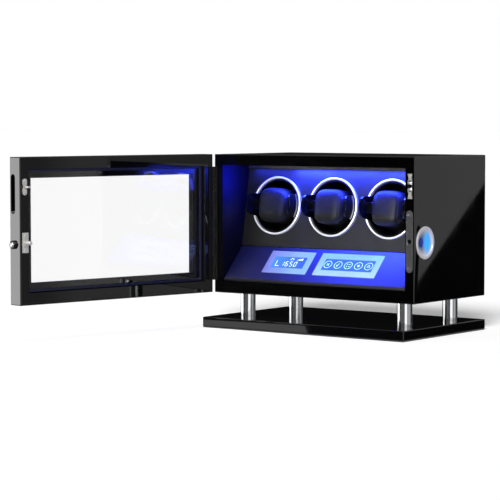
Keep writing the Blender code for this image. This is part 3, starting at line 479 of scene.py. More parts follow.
inset = 8 * mm
mid_x = (back_low.x + back_high.x) / 2
places = []
for x in (back_low.x + inset, mid_x, back_high.x - inset):
    for z in (back_low.z + inset, (back_low.z + back_high.z) / 2, back_high.z - inset):
        if x != mid_x or z != (back_low.z + back_high.z) / 2:
            places.append(Matrix.Translation((x, back_high.y, z)))
back_screws = copies(screw_head(radius=SCREW_R, height=SCREW_H), "back_screws", places)
seat(back_screws, "cabinet", zinc)


# ---- Control deck --------------------------------------------------------------------------------
# A folded ABS sheet covered in the same satin leatherette as the panel, with an upright lip at its
# front and two windows for the displays.

DECK_SLOPE = radians(45.3)
DECK_T = 3 * mm
DECK_LENGTH = 63.6 * mm
DISPLAY_START = 14 * mm
DISPLAY_LENGTH = 42 * mm
DISPLAY_MARGIN = 10 * mm
DISPLAY_PROUD = 0.6 * mm
deck_low, deck_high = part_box("control_deck")
junction_y = deck_high.y - DECK_T * sin(DECK_SLOPE)
junction_z = deck_high.z
deck_front_z = junction_z - DECK_LENGTH * sin(DECK_SLOPE)
slope_place = (Matrix.Translation((0, deck_low.y, deck_front_z)) @ Matrix.Rotation(DECK_SLOPE, 4, "X"))
shift_y = DECK_T * sin(DECK_SLOPE)
shift_z = DECK_T * cos(DECK_SLOPE)
inner_z = deck_front_z + DECK_T * (sin(DECK_SLOPE) - 1) / cos(DECK_SLOPE)
side_points = [
    (deck_low.x, deck_low.y, deck_low.z), (deck_low.x, deck_low.y, deck_front_z),
    (deck_low.x, junction_y, junction_z), (deck_low.x, junction_y + shift_y, junction_z - shift_z),
    (deck_low.x, deck_low.y + DECK_T, inner_z), (deck_low.x, deck_low.y + DECK_T, deck_low.z),
]
deck = extrude_outline("deck_cover", side_points, (deck_high.x - deck_low.x, 0, 0))
ease(deck, 0.8 * mm, 3, 30)
displays = {}
for node in ("lcd_bezel", "touch_bezel"):
    low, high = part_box(node)
    displays[node] = (low.x, high.x)
    opening = slab("cut_" + node, (low.x - FIT, DISPLAY_START - FIT, -past),
                   (high.x + FIT, DISPLAY_START + DISPLAY_LENGTH + FIT, past))
    opening.matrix_world = slope_place
    cut(deck, opening)
# The same leatherette in a lighter grey that takes up the blue light.
deck_cover, tree, shader = new_material("deck_leatherette", "#28282E", roughness=0.4, Specular_IOR_Level=0.35)
cells = grain(tree, shader, size=LINING_GRAIN, depth=0.05 * mm, kind="ShaderNodeTexVoronoi")
vary(tree, cells, shader.inputs["Roughness"], low=0.28, high=0.45, start=0.0, end=0.6)
seat(deck, "cabinet", deck_cover, ["control_deck"])


# ---- Displays ------------------------------------------------------------------------------------
# Each display is a frosted acrylic frame, lit from its edges, round a dark glass. Segments show the
# turns on the left one, and five touch keys with plain symbols are printed on the right one.

def lit_material(name, colour, strength, glows, axis, start, end, roughness=0.3):
    """Acrylic lit from behind, a little unevenly, with a glow that changes along one axis."""
    material, tree, shader = new_material(name, colour, roughness=roughness)
    spot = add(tree, "ShaderNodeTexCoord")
    cloud = add(tree, "ShaderNodeTexNoise", {"Vector": spot.outputs["Object"], "Scale": 1 / (30 * mm)})
    vary(tree, cloud.outputs[0], shader.inputs["Emission Strength"], low=strength * 0.9, high=strength * 1.1)
    parts = add(tree, "ShaderNodeSeparateXYZ", {"Vector": spot.outputs["Object"]})
    along = add(tree, "ShaderNodeMapRange", {"Value": parts.outputs[axis], "From Min": start,
                                             "From Max": end})
    ramp = add(tree, "ShaderNodeValToRGB", {"Fac": along.outputs["Result"]})
    for element, glow in zip(ramp.color_ramp.elements, glows):
        element.color = linear(glow)
    tree.links.new(ramp.outputs["Color"], shader.inputs["Emission Color"])
    return material


left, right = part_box("lcd_bezel")
# Edge-lit acrylic and back-lit glass: they glow of themselves, a little unevenly
lcd_glow = lit_material("lit_acrylic_lilac", "#20243A", strength=0.85, glows=("#8A90D8", "#A4DCFA"), axis="X",
                        start=left.x, end=right.x)
low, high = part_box("touch_bezel")
touch_glow = lit_material("lit_acrylic_ice", "#20303A", strength=0.85, glows=("#C0E4F8", "#8ACCF4"), axis="Y",
                          start=low.y, end=high.y)
low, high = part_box("lcd_screen")
lcd_glass = lit_material("lcd_glass", "#101838", strength=0.8, glows=("#5CA8F2", "#4A78EE"), axis="X",
                         start=low.x, end=high.x, roughness=0.12)
low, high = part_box("touch_panel")
touch_glass = lit_material("touch_glass", "#101838", strength=0.8, glows=("#4A86F0", "#5080F0"), axis="X",
                           start=low.x, end=high.x, roughness=0.1)
marks_white = lit_material("lit_marks", "#E8F4FF", strength=0.9, glows=("#D8F2FF", "#C8E4FF"), axis="X",
                           start=low.x, end=high.x)
marks_ice = lit_material("lit_key_marks", "#BFE6FF", strength=0.7, glows=("#7CD8FF", "#6ACBFF"), axis="X",
                         start=low.x, end=high.x)

parts = {
    "lcd_bezel": ("lcd_frame", lcd_glow, "lcd_screen", "lcd_glass_pane", lcd_glass),
    "touch_bezel": ("touch_frame", touch_glow, "touch_panel", "touch_glass_pane", touch_glass),
}
for node, (frame_name, frame_finish, glass_node, glass_name, glass_finish) in parts.items():
    left, right = displays[node]
    start, end = DISPLAY_START, DISPLAY_START + DISPLAY_LENGTH
    bezel = slab(frame_name, (left, start, -DECK_T), (right, end, DISPLAY_PROUD))
    window = slab("cut_window", (left + DISPLAY_MARGIN, start + DISPLAY_MARGIN, -past),
                  (right - DISPLAY_MARGIN, end - DISPLAY_MARGIN, past))
    cut(bezel, window)
    ease(bezel, 0.5 * mm, 3)
    seat(bezel, "cabinet", frame_finish, [node], slope_place)
    inner = DISPLAY_MARGIN + FIT
    pane = slab(glass_name, (left + inner, start + inner, -1.5 * mm), (right - inner, end - inner, 0))
    ease(pane, 0.2 * mm, 2)
    seat(pane, "cabinet", glass_finish, [glass_node], slope_place)

MARK_T = 0.15 * mm
SEGMENT = 4.2 * mm
STROKE = 0.7 * mm
DIGITS = {"1": "bc", "2": "abged", "6": "afedcg", "5": "afgcd", "0": "abcdef", "8": "abcdefg", "4": "fgbc"}


def segment_bars(x, y, digit, scale=1.0):
    """Bars of one seven-segment digit whose lower left corner is at x, y."""
    long = SEGMENT * scale
    thin = STROKE * (0.6 + 0.4 * scale)
    flat = {"a": (0, 2), "g": (0, 1), "d": (0, 0)}
    tall = {"f": (0, 1), "b": (1, 1), "e": (0, 0), "c": (1, 0)}
    bars = []
    for name in DIGITS[digit]:
        if name in flat:
            row = flat[name][1]
            low = (x + thin * 0.6, y + row * long - thin / 2, 0)
            high = (x + long - thin * 0.6, y + row * long + thin / 2, MARK_T)
        else:
            column, row = tall[name]
            low = (x + column * long - thin / 2, y + row * long + thin * 0.6, 0)
            high = (x + column * long + thin / 2, y + (row + 1) * long - thin * 0.6, MARK_T)
        bars.append(slab("bar", low, high))
    return bars


left, right = displays["lcd_bezel"]
pane_left = left + DISPLAY_MARGIN
pane_low = DISPLAY_START + DISPLAY_MARGIN
bars = []
for k, digit in enumerate("1650"):
    bars += segment_bars(pane_left + (17 + 7.6 * k) * mm, pane_low + 4 * mm, digit)
for k, digit in enumerate("24"):
    bars += segment_bars(pane_left + (30 + 3.4 * k) * mm, pane_low + 15.6 * mm, digit, 0.45)
for k in range(4):
    x = pane_left + (42 + 2.6 * k) * mm
    bars.append(slab("level", (x, pane_low + 15.6 * mm, 0),
                     (x + 1.4 * mm, pane_low + (16.8 + 0.9 * k) * mm, MARK_T)))
corner_x = pane_left + 7 * mm
bars.append(slab("axis", (corner_x, pane_low + 4 * mm, 0), (corner_x + STROKE, pane_low + 14 * mm, MARK_T)))
bars.append(slab("axis", (corner_x, pane_low + 3.6 * mm, 0),
                 (corner_x + 7 * mm, pane_low + 4.3 * mm, MARK_T)))
lift = Matrix.Translation((0, 0, 0.05 * mm))
segments = join("lcd_segments", bars)
seat(segments, "cabinet", marks_white, (), slope_place @ lift, smooth=0)

KEY_PITCH = 17.6 * mm
KEY_RING_R = 6.9 * mm
KEY_RING_T = 0.45 * mm
left, right = displays["touch_bezel"]
middle_x = (left + right) / 2
middle_y = DISPLAY_START + DISPLAY_LENGTH / 2


def disc(radius, x, y, sides=20):
    """Thin flat dot on the glass."""
    select_none()
    bpy.ops.mesh.primitive_cylinder_add(vertices=sides, radius=radius, depth=MARK_T,
                                        location=(x, y, MARK_T / 2))
    return bpy.context.object


def turned_bar(length, x, y, angle):
    """Thin flat bar on the glass, turned by an angle."""
    bar = slab("bar", (-length / 2, -KEY_RING_T, 0), (length / 2, KEY_RING_T, MARK_T))
    bar.matrix_world = Matrix.Translation((x, y, 0)) @ Matrix.Rotation(angle, 4, "Z")
    select_only(bar)
    bpy.ops.object.transform_apply(location=True, rotation=True, scale=True)
    return bar


marks = []
for k in range(5):
    x = middle_x + (k - 2) * KEY_PITCH
    ring = lathe("ring", [(KEY_RING_R - 2 * KEY_RING_T, 0), (KEY_RING_R, 0), (KEY_RING_R, MARK_T),
                          (KEY_RING_R - 2 * KEY_RING_T, MARK_T)], 48, "Z")
    ring.location = (x, middle_y, 0)
    select_only(ring)
    bpy.ops.object.transform_apply(location=True, rotation=False, scale=False)
    marks.append(ring)
    if k == 0:
        marks += [turned_bar(6 * mm, x, middle_y, angle) for angle in (radians(45), radians(-45))]
        marks.append(disc(1.4 * mm, x, middle_y))
    elif k == 1:
        marks += [turned_bar(6.4 * mm, x, middle_y, radians(70)),
                  disc(1.5 * mm, x - 1.6 * mm, middle_y - 1.6 * mm)]
    elif k == 2:
        marks += [disc(1 * mm, x + a * mm, middle_y + b * mm, 16)
                  for a, b in ((2, 2), (-2, 2), (2, -2), (-2, -2))]
    elif k == 3:
        marks.append(disc(2.1 * mm, x, middle_y))
    else:
        for turn in range(3):
            angle = radians(90 + 120 * turn)
            marks.append(turned_bar(5.2 * mm, x + 1.5 * mm * cos(angle + pi),
                                    middle_y + 1.5 * mm * sin(angle + pi),
                                    angle + pi / 2))
symbols = join("touch_symbols", marks)
seat(symbols, "cabinet", marks_ice, (), slope_place @ lift, smooth=0)

SOLDER_PATCH = 6 * mm
# Solder mask: glossy green, lighter over the copper.
solder_mask, tree, shader = new_material("solder_mask_board", "#0F4A2A", roughness=0.35)
tracks = grain(tree, shader, size=SOLDER_PATCH, depth=0.03 * mm, kind="ShaderNodeTexVoronoi")
tint(tree, tracks, shader, "#0B3A20", "#1A6A3E", start=0.2, end=0.5)
dress("control_board", solder_mask)


# ---- Light under the roof ------------------------------------------------------------------------
# An extruded and anodised aluminium channel holds a strip of blue diodes behind an opal diffuser. The
# channel is screwed under the roof just in front of the winder panel.

EXTRUSION_LINE = 0.5 * mm
# Extruded and anodised: pale satin metal with lines along its length, drawn coarser than
# the real 0.1 mm.
anodised, tree, shader = new_material("anodised_aluminium", "#B9B7B0", roughness=0.3, metallic=1.0,
                                      Anisotropic=0.4)
lines = grain(tree, shader, size=EXTRUSION_LINE, depth=0.004 * mm, detail=2.0, stretch=(0.02, 1, 1))
vary(tree, lines, shader.inputs["Roughness"], low=0.25, high=0.4)
dress("led_bar", anodised)
low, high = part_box("led_diffuser")
# Opal diffuser: an even soft blue glow
opal = lit_material("opal_diffuser", "#C8D0FF", strength=0.6, glows=("#3A48FF", "#5A6CFF"), axis="X",
                    start=low.x, end=high.x, roughness=0.5)
dress("led_diffuser", opal)


# ---- Winder panel --------------------------------------------------------------------------------
# An MDF panel wrapped in satin leatherette, leaning back from the deck to the roof, with a round hole
# for each rotor.

PANEL_GRAIN = 0.9 * mm
PANEL_CLOUD = 60 * mm
# Wrapped leatherette: coarse satin pebble, slightly cloudy over a hand's breadth.
panel_cover, tree, shader = new_material("panel_leatherette", "#2C2C2E", roughness=0.55,
                                         Specular_IOR_Level=0.3)
cells = grain(tree, shader, size=PANEL_GRAIN, depth=0.06 * mm, kind="ShaderNodeTexVoronoi")
spot = add(tree, "ShaderNodeTexCoord")
cloud = add(tree, "ShaderNodeTexNoise", {"Vector": spot.outputs["Object"], "Scale": 1 / PANEL_CLOUD})
tint(tree, cloud.outputs[0], shader, "#29292B", "#303032")
vary(tree, cells, shader.inputs["Roughness"], low=0.45, high=0.6, start=0.0, end=0.6)
dress("winder_panel", panel_cover)


# ---- Rotor rings ---------------------------------------------------------------------------------
# Each ring is pressed into its hole in the panel: zinc turned to a half-round face, then chromed to a
# mirror.

PANEL_LEAN = radians(8.85)
# Chrome: the brightest thing inside. Kept less metallic than the real 1.0, so that it stays
# light where there is little round it to mirror.
chrome_plate, tree, shader = new_material("chrome_plate", "#F8FAFF", roughness=0.2, metallic=0.55)
grain(tree, shader, size=3 * mm, depth=0.004 * mm, detail=2.0)

RING_R = 43.5 * mm
RING_IN = 40.5 * mm
RING_PROUD = 5 * mm
SPIGOT_T = 0.7 * mm
PANEL_T = 6 * mm
stations = {}
for number in (1, 2, 3):
    place = Vector(joints[f"rotor_spin_{number}"]["pos_m"])
    stations[number] = Matrix.Translation(place) @ Matrix.Rotation(-PANEL_LEAN, 4, "X")

face = []
face_steps = 8
middle = (RING_R + RING_IN) / 2
half = (RING_R - RING_IN) / 2
for k in range(face_steps + 1):
    angle = pi * k / face_steps
    face.append((middle - half * cos(angle), -RING_PROUD + 1.2 * mm - 1.2 * mm * sin(angle)))
outline = [*face, (RING_R, -FIT), (RING_IN + SPIGOT_T, -FIT), (RING_IN + SPIGOT_T, PANEL_T),
           (RING_IN, PANEL_T)]
for number, station in stations.items():
    ring = lathe(f"chrome_ring_{number}", outline, 112, "Y")
    seat(ring, "cabinet", chrome_plate, [f"bezel_ring_{number}"], station)


# ---- Rotor cups ----------------------------------------------------------------------------------
# Injection-moulded ABS cups, polished in the mould, each with two ears that reach forward past the
# ring. The cup turns on the shaft moulded into its floor.

CUP_R = 39.8 * mm
CUP_IN = 37.3 * mm
CUP_DEPTH = 44 * mm
CUP_FLOOR = 3 * mm
CUP_LIP = 2 * mm
EAR_REACH = 27 * mm
EAR_ROOT = 18 * mm
EAR_TIP = 15.5 * mm
EAR_CORNER = 9 * mm
cup_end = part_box("rotor_cup_1")[1]
shaft_end = (cup_end.y - stations[1].translation.y) / cos(PANEL_LEAN) - 1.5 * mm
# ABS polished in the mould: near-black gloss that ripples with the plastic's flow.
gloss_abs, tree, shader = new_material("polished_abs", "#0B0B0D", roughness=0.09, Coat_Weight=0.3,
                                       Coat_Roughness=0.03)
flow = grain(tree, shader, size=12 * mm, depth=0.02 * mm, detail=2.0)
vary(tree, flow, shader.inputs["Roughness"], low=0.07, high=0.14)

outline = [(0, CUP_DEPTH - CUP_FLOOR), (CUP_IN - 2 * mm, CUP_DEPTH - CUP_FLOOR),
           (CUP_IN, CUP_DEPTH - CUP_FLOOR - 2 * mm),
           (CUP_IN, -EAR_REACH), (CUP_R, -EAR_REACH), (CUP_R, CUP_DEPTH), (9 * mm, CUP_DEPTH),
           (9 * mm, CUP_DEPTH + 3.5 * mm), (4 * mm, CUP_DEPTH + 3.5 * mm), (4 * mm, shaft_end),
           (0, shaft_end)]
cup = lathe("cup", outline, 128, "Y")
reach = CUP_R + 5 * mm
for side in (1, -1):
    arc = []
    for k in range(11):
        angle = pi / 2 + pi / 2 * k / 10
        arc.append((-EAR_REACH + EAR_CORNER + EAR_CORNER * cos(angle),
                    side * (EAR_TIP - EAR_CORNER + EAR_CORNER * sin(angle))))
    front = -EAR_REACH - 3 * mm
    wedge = [(-CUP_LIP, side * EAR_ROOT), *arc, (front, side * (EAR_TIP - EAR_CORNER)), (front, side * reach),
             (-CUP_LIP, side * reach)]
    cutter = extrude_outline("cut_ear", [(-reach, y, z) for y, z in wedge], (2 * reach, 0, 0))
    cut(cup, cutter)
ease(cup, 0.5 * mm, 2, 50)


def twin_of(piece, name):
    """Copy of a finished shape with a mesh of its own."""
    twin = piece.copy()
    twin.data = piece.data.copy()
    twin.name = name
    bpy.context.collection.objects.link(twin)
    return twin


for number, station in stations.items():
    piece = twin_of(cup, f"gloss_cup_{number}")
    seat(piece, f"rotor_{number}", gloss_abs, [f"rotor_cup_{number}"], station)
bpy.data.objects.remove(cup, do_unlink=True)


# ---- Watch pillows -------------------------------------------------------------------------------
# A foam pad in stitched leatherette, filled tight so that its faces crown, with a moulded spring wing
# at each side that grips the cup. The pad is blown up by a cloth simulation from a smaller block.

PILLOW_HALF = Vector((23.5 * mm, 0, 26 * mm))
PILLOW_FRONT = 22 * mm
PILLOW_BACK = 37 * mm
PILLOW_ROUND = 11 * mm
FILLING_VOXEL = 4 * mm
FILLING_CAP = 5 * mm
FILLING_START = 3 * mm
FILLING_PRESSURE = 4.0
CLOTH_STIFFNESS = 40
SEAM_AT = 18.5 * mm
SEAM_HALF = 1.1 * mm
SEAM_DEPTH = 0.6 * mm
BARREL = 0.12                 # how much wider the stuffed pad is at half its height
PORE = 0.8 * mm
CREASE = 9 * mm
# Soft leatherette over foam: satin black with fine pores and broad creases.
soft_leather, tree, shader = new_material("pillow_leatherette", "#161619", roughness=0.38,
                                          Specular_IOR_Level=0.35)
spot = add(tree, "ShaderNodeTexCoord")
pores = add(tree, "ShaderNodeTexVoronoi", {"Vector": spot.outputs["Object"], "Scale": 1 / PORE})
creases = add(tree, "ShaderNodeTexNoise", {"Vector": spot.outputs["Object"], "Scale": 1 / CREASE,
                                           "Detail": 5.0})
fine = add(tree, "ShaderNodeBump", {"Height": pores.outputs["Distance"], "Distance": 0.06 * mm})
soft = add(tree, "ShaderNodeBump", {"Height": creases.outputs[0], "Distance": 0.5 * mm,
                                    "Normal": fine.outputs["Normal"]})
tree.links.new(soft.outputs["Normal"], shader.inputs["Normal"])
tint(tree, creases.outputs[0], shader, "#131315", "#1A1A1D")
vary(tree, pores.outputs["Distance"], shader.inputs["Roughness"], low=0.36, high=0.52, start=0.0, end=0.6)


def fill(piece, pressure, cap, frames=20):
    """Blows a closed pad up like a stuffed cushion, and keeps every point within the cap."""
    before = [point.co.copy() for point in piece.data.vertices]
    select_only(piece)
    cloth = piece.modifiers.new("Filling", "CLOTH")
    cloth.settings.use_pressure = True
    cloth.settings.uniform_pressure_force = pressure
    cloth.settings.effector_weights.gravity = 0
    cloth.settings.tension_stiffness = CLOTH_STIFFNESS
    cloth.settings.compression_stiffness = CLOTH_STIFFNESS
    for step in range(1, frames + 1):
        scene.frame_set(step)
    bpy.ops.object.modifier_apply(modifier=cloth.name)
    scene.frame_set(1)
    for point, start in zip(piece.data.vertices, before):
        move = point.co - start
        if move.length > cap:
            point.co = start + move.normalized() * cap


pad_low = Vector((-PILLOW_HALF.x, -PILLOW_FRONT, -PILLOW_HALF.z))
pad_high = Vector((PILLOW_HALF.x, PILLOW_BACK, PILLOW_HALF.z))
smaller = Vector((FILLING_START, FILLING_START, FILLING_START))
pad = slab("pad", pad_low + smaller, pad_high - smaller)
ease(pad, PILLOW_ROUND, 4)
modify(pad, "REMESH", mode="VOXEL", voxel_size=FILLING_VOXEL)
fill(pad, FILLING_PRESSURE, FILLING_CAP)
modify(pad, "SUBSURF", levels=2, render_levels=2)
lows = Vector([min(point.co[k] for point in pad.data.vertices) for k in range(3)])
highs = Vector([max(point.co[k] for point in pad.data.vertices) for k in range(3)])
for point in pad.data.vertices:
    for k in range(3):
        share = (point.co[k] - lows[k]) / (highs[k] - lows[k])
        point.co[k] = pad_low[k] + share * (pad_high[k] - pad_low[k])
    crown = 1 - (point.co.z / PILLOW_HALF.z) ** 2
    off = abs(abs(point.co.x) - SEAM_AT) / SEAM_HALF
    if off < 1:
        inward = Vector((0, (pad_low.y + pad_high.y) / 2, 0)) - Vector((0, point.co.y, point.co.z))
        point.co += inward.normalized() * SEAM_DEPTH * (1 - off * off)
    point.co.x *= 1 + BARREL * crown

WING_HALF_H = 8 * mm
WING_REACH = 12 * mm
wing_x = (CUP_IN ** 2 - WING_HALF_H ** 2) ** 0.5 - 0.5 * mm
wings = []
for side in (1, -1):
    inner = PILLOW_HALF.x - 1.5 * mm
    ends = sorted((side * inner, side * wing_x))
    wing = slab("wing", (ends[0], -WING_REACH, -WING_HALF_H), (ends[1], WING_REACH, WING_HALF_H))
    dent = 2.5 * mm
    scoop_ends = sorted((side * (inner + 4 * mm), side * (wing_x - 1.5 * mm)))
    scoop = slab("scoop", (scoop_ends[0], -WING_REACH - mm, -WING_HALF_H + dent),
                 (scoop_ends[1], -WING_REACH + 6 * mm, WING_HALF_H - dent))
    cut(wing, scoop)
    ease(wing, 1.2 * mm, 3)
    wings.append(wing)
wings = join("wings", wings)
for number, station in stations.items():
    cushion = twin_of(pad, f"pillow_pad_{number}")
    seat(cushion, f"pillow_{number}", soft_leather, [f"pillow_{number}"], station,
         smooth=80)
    clip = twin_of(wings, f"pillow_wings_{number}")
    seat(clip, f"pillow_{number}", gloss_abs, [f"pillow_{number}"], station)
bpy.data.objects.remove(pad, do_unlink=True)
bpy.data.objects.remove(wings, do_unlink=True)


# ---- Drives --------------------------------------------------------------------------------------
# Behind the panel each rotor has a moulded housing, a small geared motor, two pulleys and a round
# rubber belt. They are seen only with the back off.

# Spark-eroded mould texture: even matt black.
mould_abs, tree, shader = new_material("textured_abs", "#1A1A1C", roughness=0.6)
grain(tree, shader, size=0.6 * mm, depth=0.04 * mm, detail=3.0)
# Nickel-plated can: bright grey with drawing lines round it, coarser than the real ones.
can_steel, tree, shader = new_material("nickel_motor_can", "#A9AAAC", roughness=0.3, metallic=1.0)
lines = grain(tree, shader, size=0.4 * mm, depth=0.004 * mm, detail=2.0, stretch=(0.03, 1, 0.03))
vary(tree, lines, shader.inputs["Roughness"], low=0.25, high=0.38)
# Moulded rubber: dull black.
belt_rubber, tree, shader = new_material("moulded_rubber", "#17171A", roughness=0.75)
grain(tree, shader, size=0.5 * mm, depth=0.03 * mm, detail=4.0)
for number in stations:
    dress(f"drive_housing_{number}", mould_abs)
    dress(f"motor_{number}", can_steel)
    dress(f"motor_pulley_{number}", turned_brass)
    dress(f"rotor_pulley_{number}", mould_abs)
    dress(f"drive_belt_{number}", belt_rubber)


# ---- Door ----------------------------------------------------------------------------------------
# A mitred MDF frame, lacquered and buffed like the cabinet, with a stepped opening for the glass and a
# slot for the fingertips milled in its free edge.

DOOR_OPEN = radians(101.2)    # the angle at which the door stands at rest
hinge_at = Vector(joints["door_hinge"]["pos_m"])
DOOR_SWING = Matrix.Translation((hinge_at.x, hinge_at.y, cab_low.z)) @ Matrix.Rotation(-DOOR_OPEN, 4, "Z")
DOOR_W = cab_size.x
DOOR_H = cab_size.z
DOOR_IN = -2 * mm
DOOR_OUT = -26 * mm
REVEAL_SIDE = 15 * mm
REVEAL_FOOT = 17 * mm
REVEAL_DEPTH = 14 * mm
LIP_W = 12.5 * mm
PULL_L = 55 * mm
PULL_W = 10 * mm
PULL_DEPTH = 10 * mm
PULL_Z = 154 * mm
PULL_FROM_INSIDE = 16.4 * mm
KEY_Z = 84 * mm
KEY_Y = DOOR_IN - 15 * mm
KEY_SHANK_R = 4 * mm
KEY_SHANK_L = 11 * mm
ledge = DOOR_IN - REVEAL_DEPTH
side = REVEAL_SIDE + LIP_W
foot = REVEAL_FOOT + LIP_W

door = slab("door_stiles_and_rails", (0, DOOR_OUT, 0), (DOOR_W, DOOR_IN, DOOR_H))
ease(door, EDGE_EASE, 5)
pull = stadium(DOOR_IN - PULL_FROM_INSIDE, PULL_Z, PULL_W, PULL_L)
pull_cut = extrude_outline("cut_pull", [(DOOR_W - PULL_DEPTH, y, z) for y, z in pull],
                           (PULL_DEPTH + past, 0, 0))
key_cut = lathe("cut_key", [(0, DOOR_W - KEY_SHANK_L - FIT), (KEY_SHANK_R + FIT, DOOR_W - KEY_SHANK_L - FIT),
                            (KEY_SHANK_R + FIT, DOOR_W + past), (0, DOOR_W + past)], 48, "X")
key_cut.location = (0, KEY_Y, KEY_Z)
cut(door,
    slab("cut_reveal", (REVEAL_SIDE, ledge, REVEAL_FOOT),
         (DOOR_W - REVEAL_SIDE, DOOR_IN + past, DOOR_H - REVEAL_FOOT)),
    slab("cut_sight", (side, DOOR_OUT - past, foot), (DOOR_W - side, DOOR_IN + past, DOOR_H - foot)),
    pull_cut, key_cut)
rebate = []                    # walls of the opening that the glass covers
for face in door.data.polygons:
    middle = face.center
    across = REVEAL_SIDE + mm < middle.x < DOOR_W - REVEAL_SIDE - mm
    upward = REVEAL_FOOT + mm < middle.z < DOOR_H - REVEAL_FOOT - mm
    if across and upward and DOOR_OUT + mm < middle.y < ledge - mm:
        rebate.append(face.index)
seat(door, "door", piano_lacquer, ["door_frame"], DOOR_SWING)
# Unpolished primer on the walls of the opening, behind the glass: no reflections.
matt_black, tree, shader = new_material("matt_black_primer", "#0A0A0B", roughness=0.7,
                                        Specular_IOR_Level=0.15)
grain(tree, shader, size=0.8 * mm, depth=0.01 * mm, detail=3.0)
door.data.materials.append(matt_black)
for index in rebate:
    door.data.polygons[index].material_index = 1


# ---- Door glass and bead -------------------------------------------------------------------------
# Clear 3 mm float glass lies on the ledge of the frame, held by a black glazing bead pressed in
# around it.

# Float glass: clear and sharp, with a very slight wave in its reflections
clear_glass = bpy.data.materials.new("float_glass")
clear_glass.use_nodes = True
tree = clear_glass.node_tree
shader = tree.nodes["Principled BSDF"]
shader.inputs["Base Color"].default_value = linear("#FDFDFD")
shader.inputs["Roughness"].default_value = 0.0
shader.inputs["IOR"].default_value = 1.45
shader.inputs["Transmission Weight"].default_value = 1.0
spot = add(tree, "ShaderNodeTexCoord")
ripple = add(tree, "ShaderNodeTexNoise", {"Vector": spot.outputs["Object"], "Scale": 1 / (80 * mm)})
wave = add(tree, "ShaderNodeBump", {"Height": ripple.outputs[0], "Distance": 0.002 * mm})
tree.links.new(wave.outputs["Normal"], shader.inputs["Normal"])
dress("door_glass", clear_glass)
frame["nodes"]["door_glass"].visible_shadow = False

BEAD = 4 * mm
bead_low_y = ledge + FIT + 3 * mm + FIT
bead = slab("glazing_frame", (REVEAL_SIDE + FIT, bead_low_y, REVEAL_FOOT + FIT),
            (DOOR_W - REVEAL_SIDE - FIT, bead_low_y + BEAD, DOOR_H - REVEAL_FOOT - FIT))
cut(bead, slab("cut_bead", (REVEAL_SIDE + FIT + BEAD, bead_low_y - BEAD, REVEAL_FOOT + FIT + BEAD),
               (DOOR_W - REVEAL_SIDE - FIT - BEAD, bead_low_y + 2 * BEAD, DOOR_H - REVEAL_FOOT - FIT - BEAD)))
ease(bead, 0.8 * mm, 3)
# Extruded PVC: glossy. Its navy tint is painted blue light: the bead is coloured as it looks in the winder's
# blue light.
# painted light: a navy base colour stands in for the winder's blue light on the bead
bead_pvc_painted_blue, tree, shader = new_material("pvc_bead_painted_blue_light", "#0A0C26", roughness=0.22)
grain(tree, shader, size=4 * mm, depth=0.006 * mm, detail=2.0)
seat(bead, "door", bead_pvc_painted_blue, ["glazing_bead"], DOOR_SWING)


# ---- Key cylinder --------------------------------------------------------------------------------
# Chromed zinc cylinder pressed into the door's free edge, with a steel plug that the spare key turns.

KEY_HEAD_R = 5 * mm
KEY_HEAD_L = 5 * mm
KEY_PLUG_R = 2.8 * mm
KEY_SLOT = 1 * mm
start = DOOR_W - KEY_SHANK_L
head = DOOR_W + FIT
end = head + KEY_HEAD_L
bore = KEY_PLUG_R + FIT
floor = start + 1.5 * mm
outline = [(0, start), (KEY_SHANK_R, start), (KEY_SHANK_R, head)]
dome_steps = 8
for k in range(dome_steps + 1):
    angle = pi / 2 * k / dome_steps
    outline.append((bore + (KEY_HEAD_R - bore) * cos(angle),
                    head + 0.4 * mm + (KEY_HEAD_L - 0.4 * mm) * sin(angle)))
outline += [(bore, floor), (0, floor)]
# Polished zinc: grey mirror, a little softer than chrome.
polished_zinc, tree, shader = new_material("polished_zinc", "#C4C5C8", roughness=0.18, metallic=1.0)
grain(tree, shader, size=2 * mm, depth=0.004 * mm, detail=2.0)
key_place = DOOR_SWING @ Matrix.Translation((0, KEY_Y, KEY_Z))
barrel = lathe("key_cylinder", outline, 64, "X")
seat(barrel, "door", polished_zinc, ["key_barrel"], key_place)
COLLAR_R = KEY_HEAD_R + 1 * mm
collar = lathe("key_collar", [(KEY_HEAD_R + 0.1 * mm, DOOR_W + 0.05 * mm), (COLLAR_R, DOOR_W + 0.05 * mm),
                              (COLLAR_R, DOOR_W + 3 * mm), (COLLAR_R - 0.4 * mm, DOOR_W + 3.4 * mm),
                              (KEY_HEAD_R + 0.1 * mm, DOOR_W + 3.4 * mm)], 64, "X")
seat(collar, "door", nylon, (), key_place)
# Brushed stainless: soft grey sheen with no sharp reflections.
satin_steel, tree, shader = new_material("satin_stainless", "#BFC0C2", roughness=0.28, metallic=1.0)
lines = grain(tree, shader, size=0.5 * mm, depth=0.004 * mm, detail=2.0)
vary(tree, lines, shader.inputs["Roughness"], low=0.24, high=0.34)
face_at = end - 0.3 * mm
plug = lathe("key_plug_face", [(0, floor + FIT), (KEY_PLUG_R, floor + FIT), (KEY_PLUG_R, face_at - 0.2 * mm),
                               (KEY_PLUG_R - 0.2 * mm, face_at), (0, face_at)], 48, "X")
slot_h = KEY_PLUG_R * 0.7
cut(plug, slab("cut_keyway", (face_at - 3 * mm, -KEY_SLOT / 2, -slot_h),
               (face_at + mm, KEY_SLOT / 2, slot_h)))
seat(plug, "key_plug", satin_steel, ["key_plug"], key_place)


# ---- Lock striker --------------------------------------------------------------------------------
# Nickel-plated plate screwed on the door's inner face, with a square foot and a grooved pin that the
# bolt catches.

LOCK_X = 341.8 * mm
LOCK_Z = 87 * mm
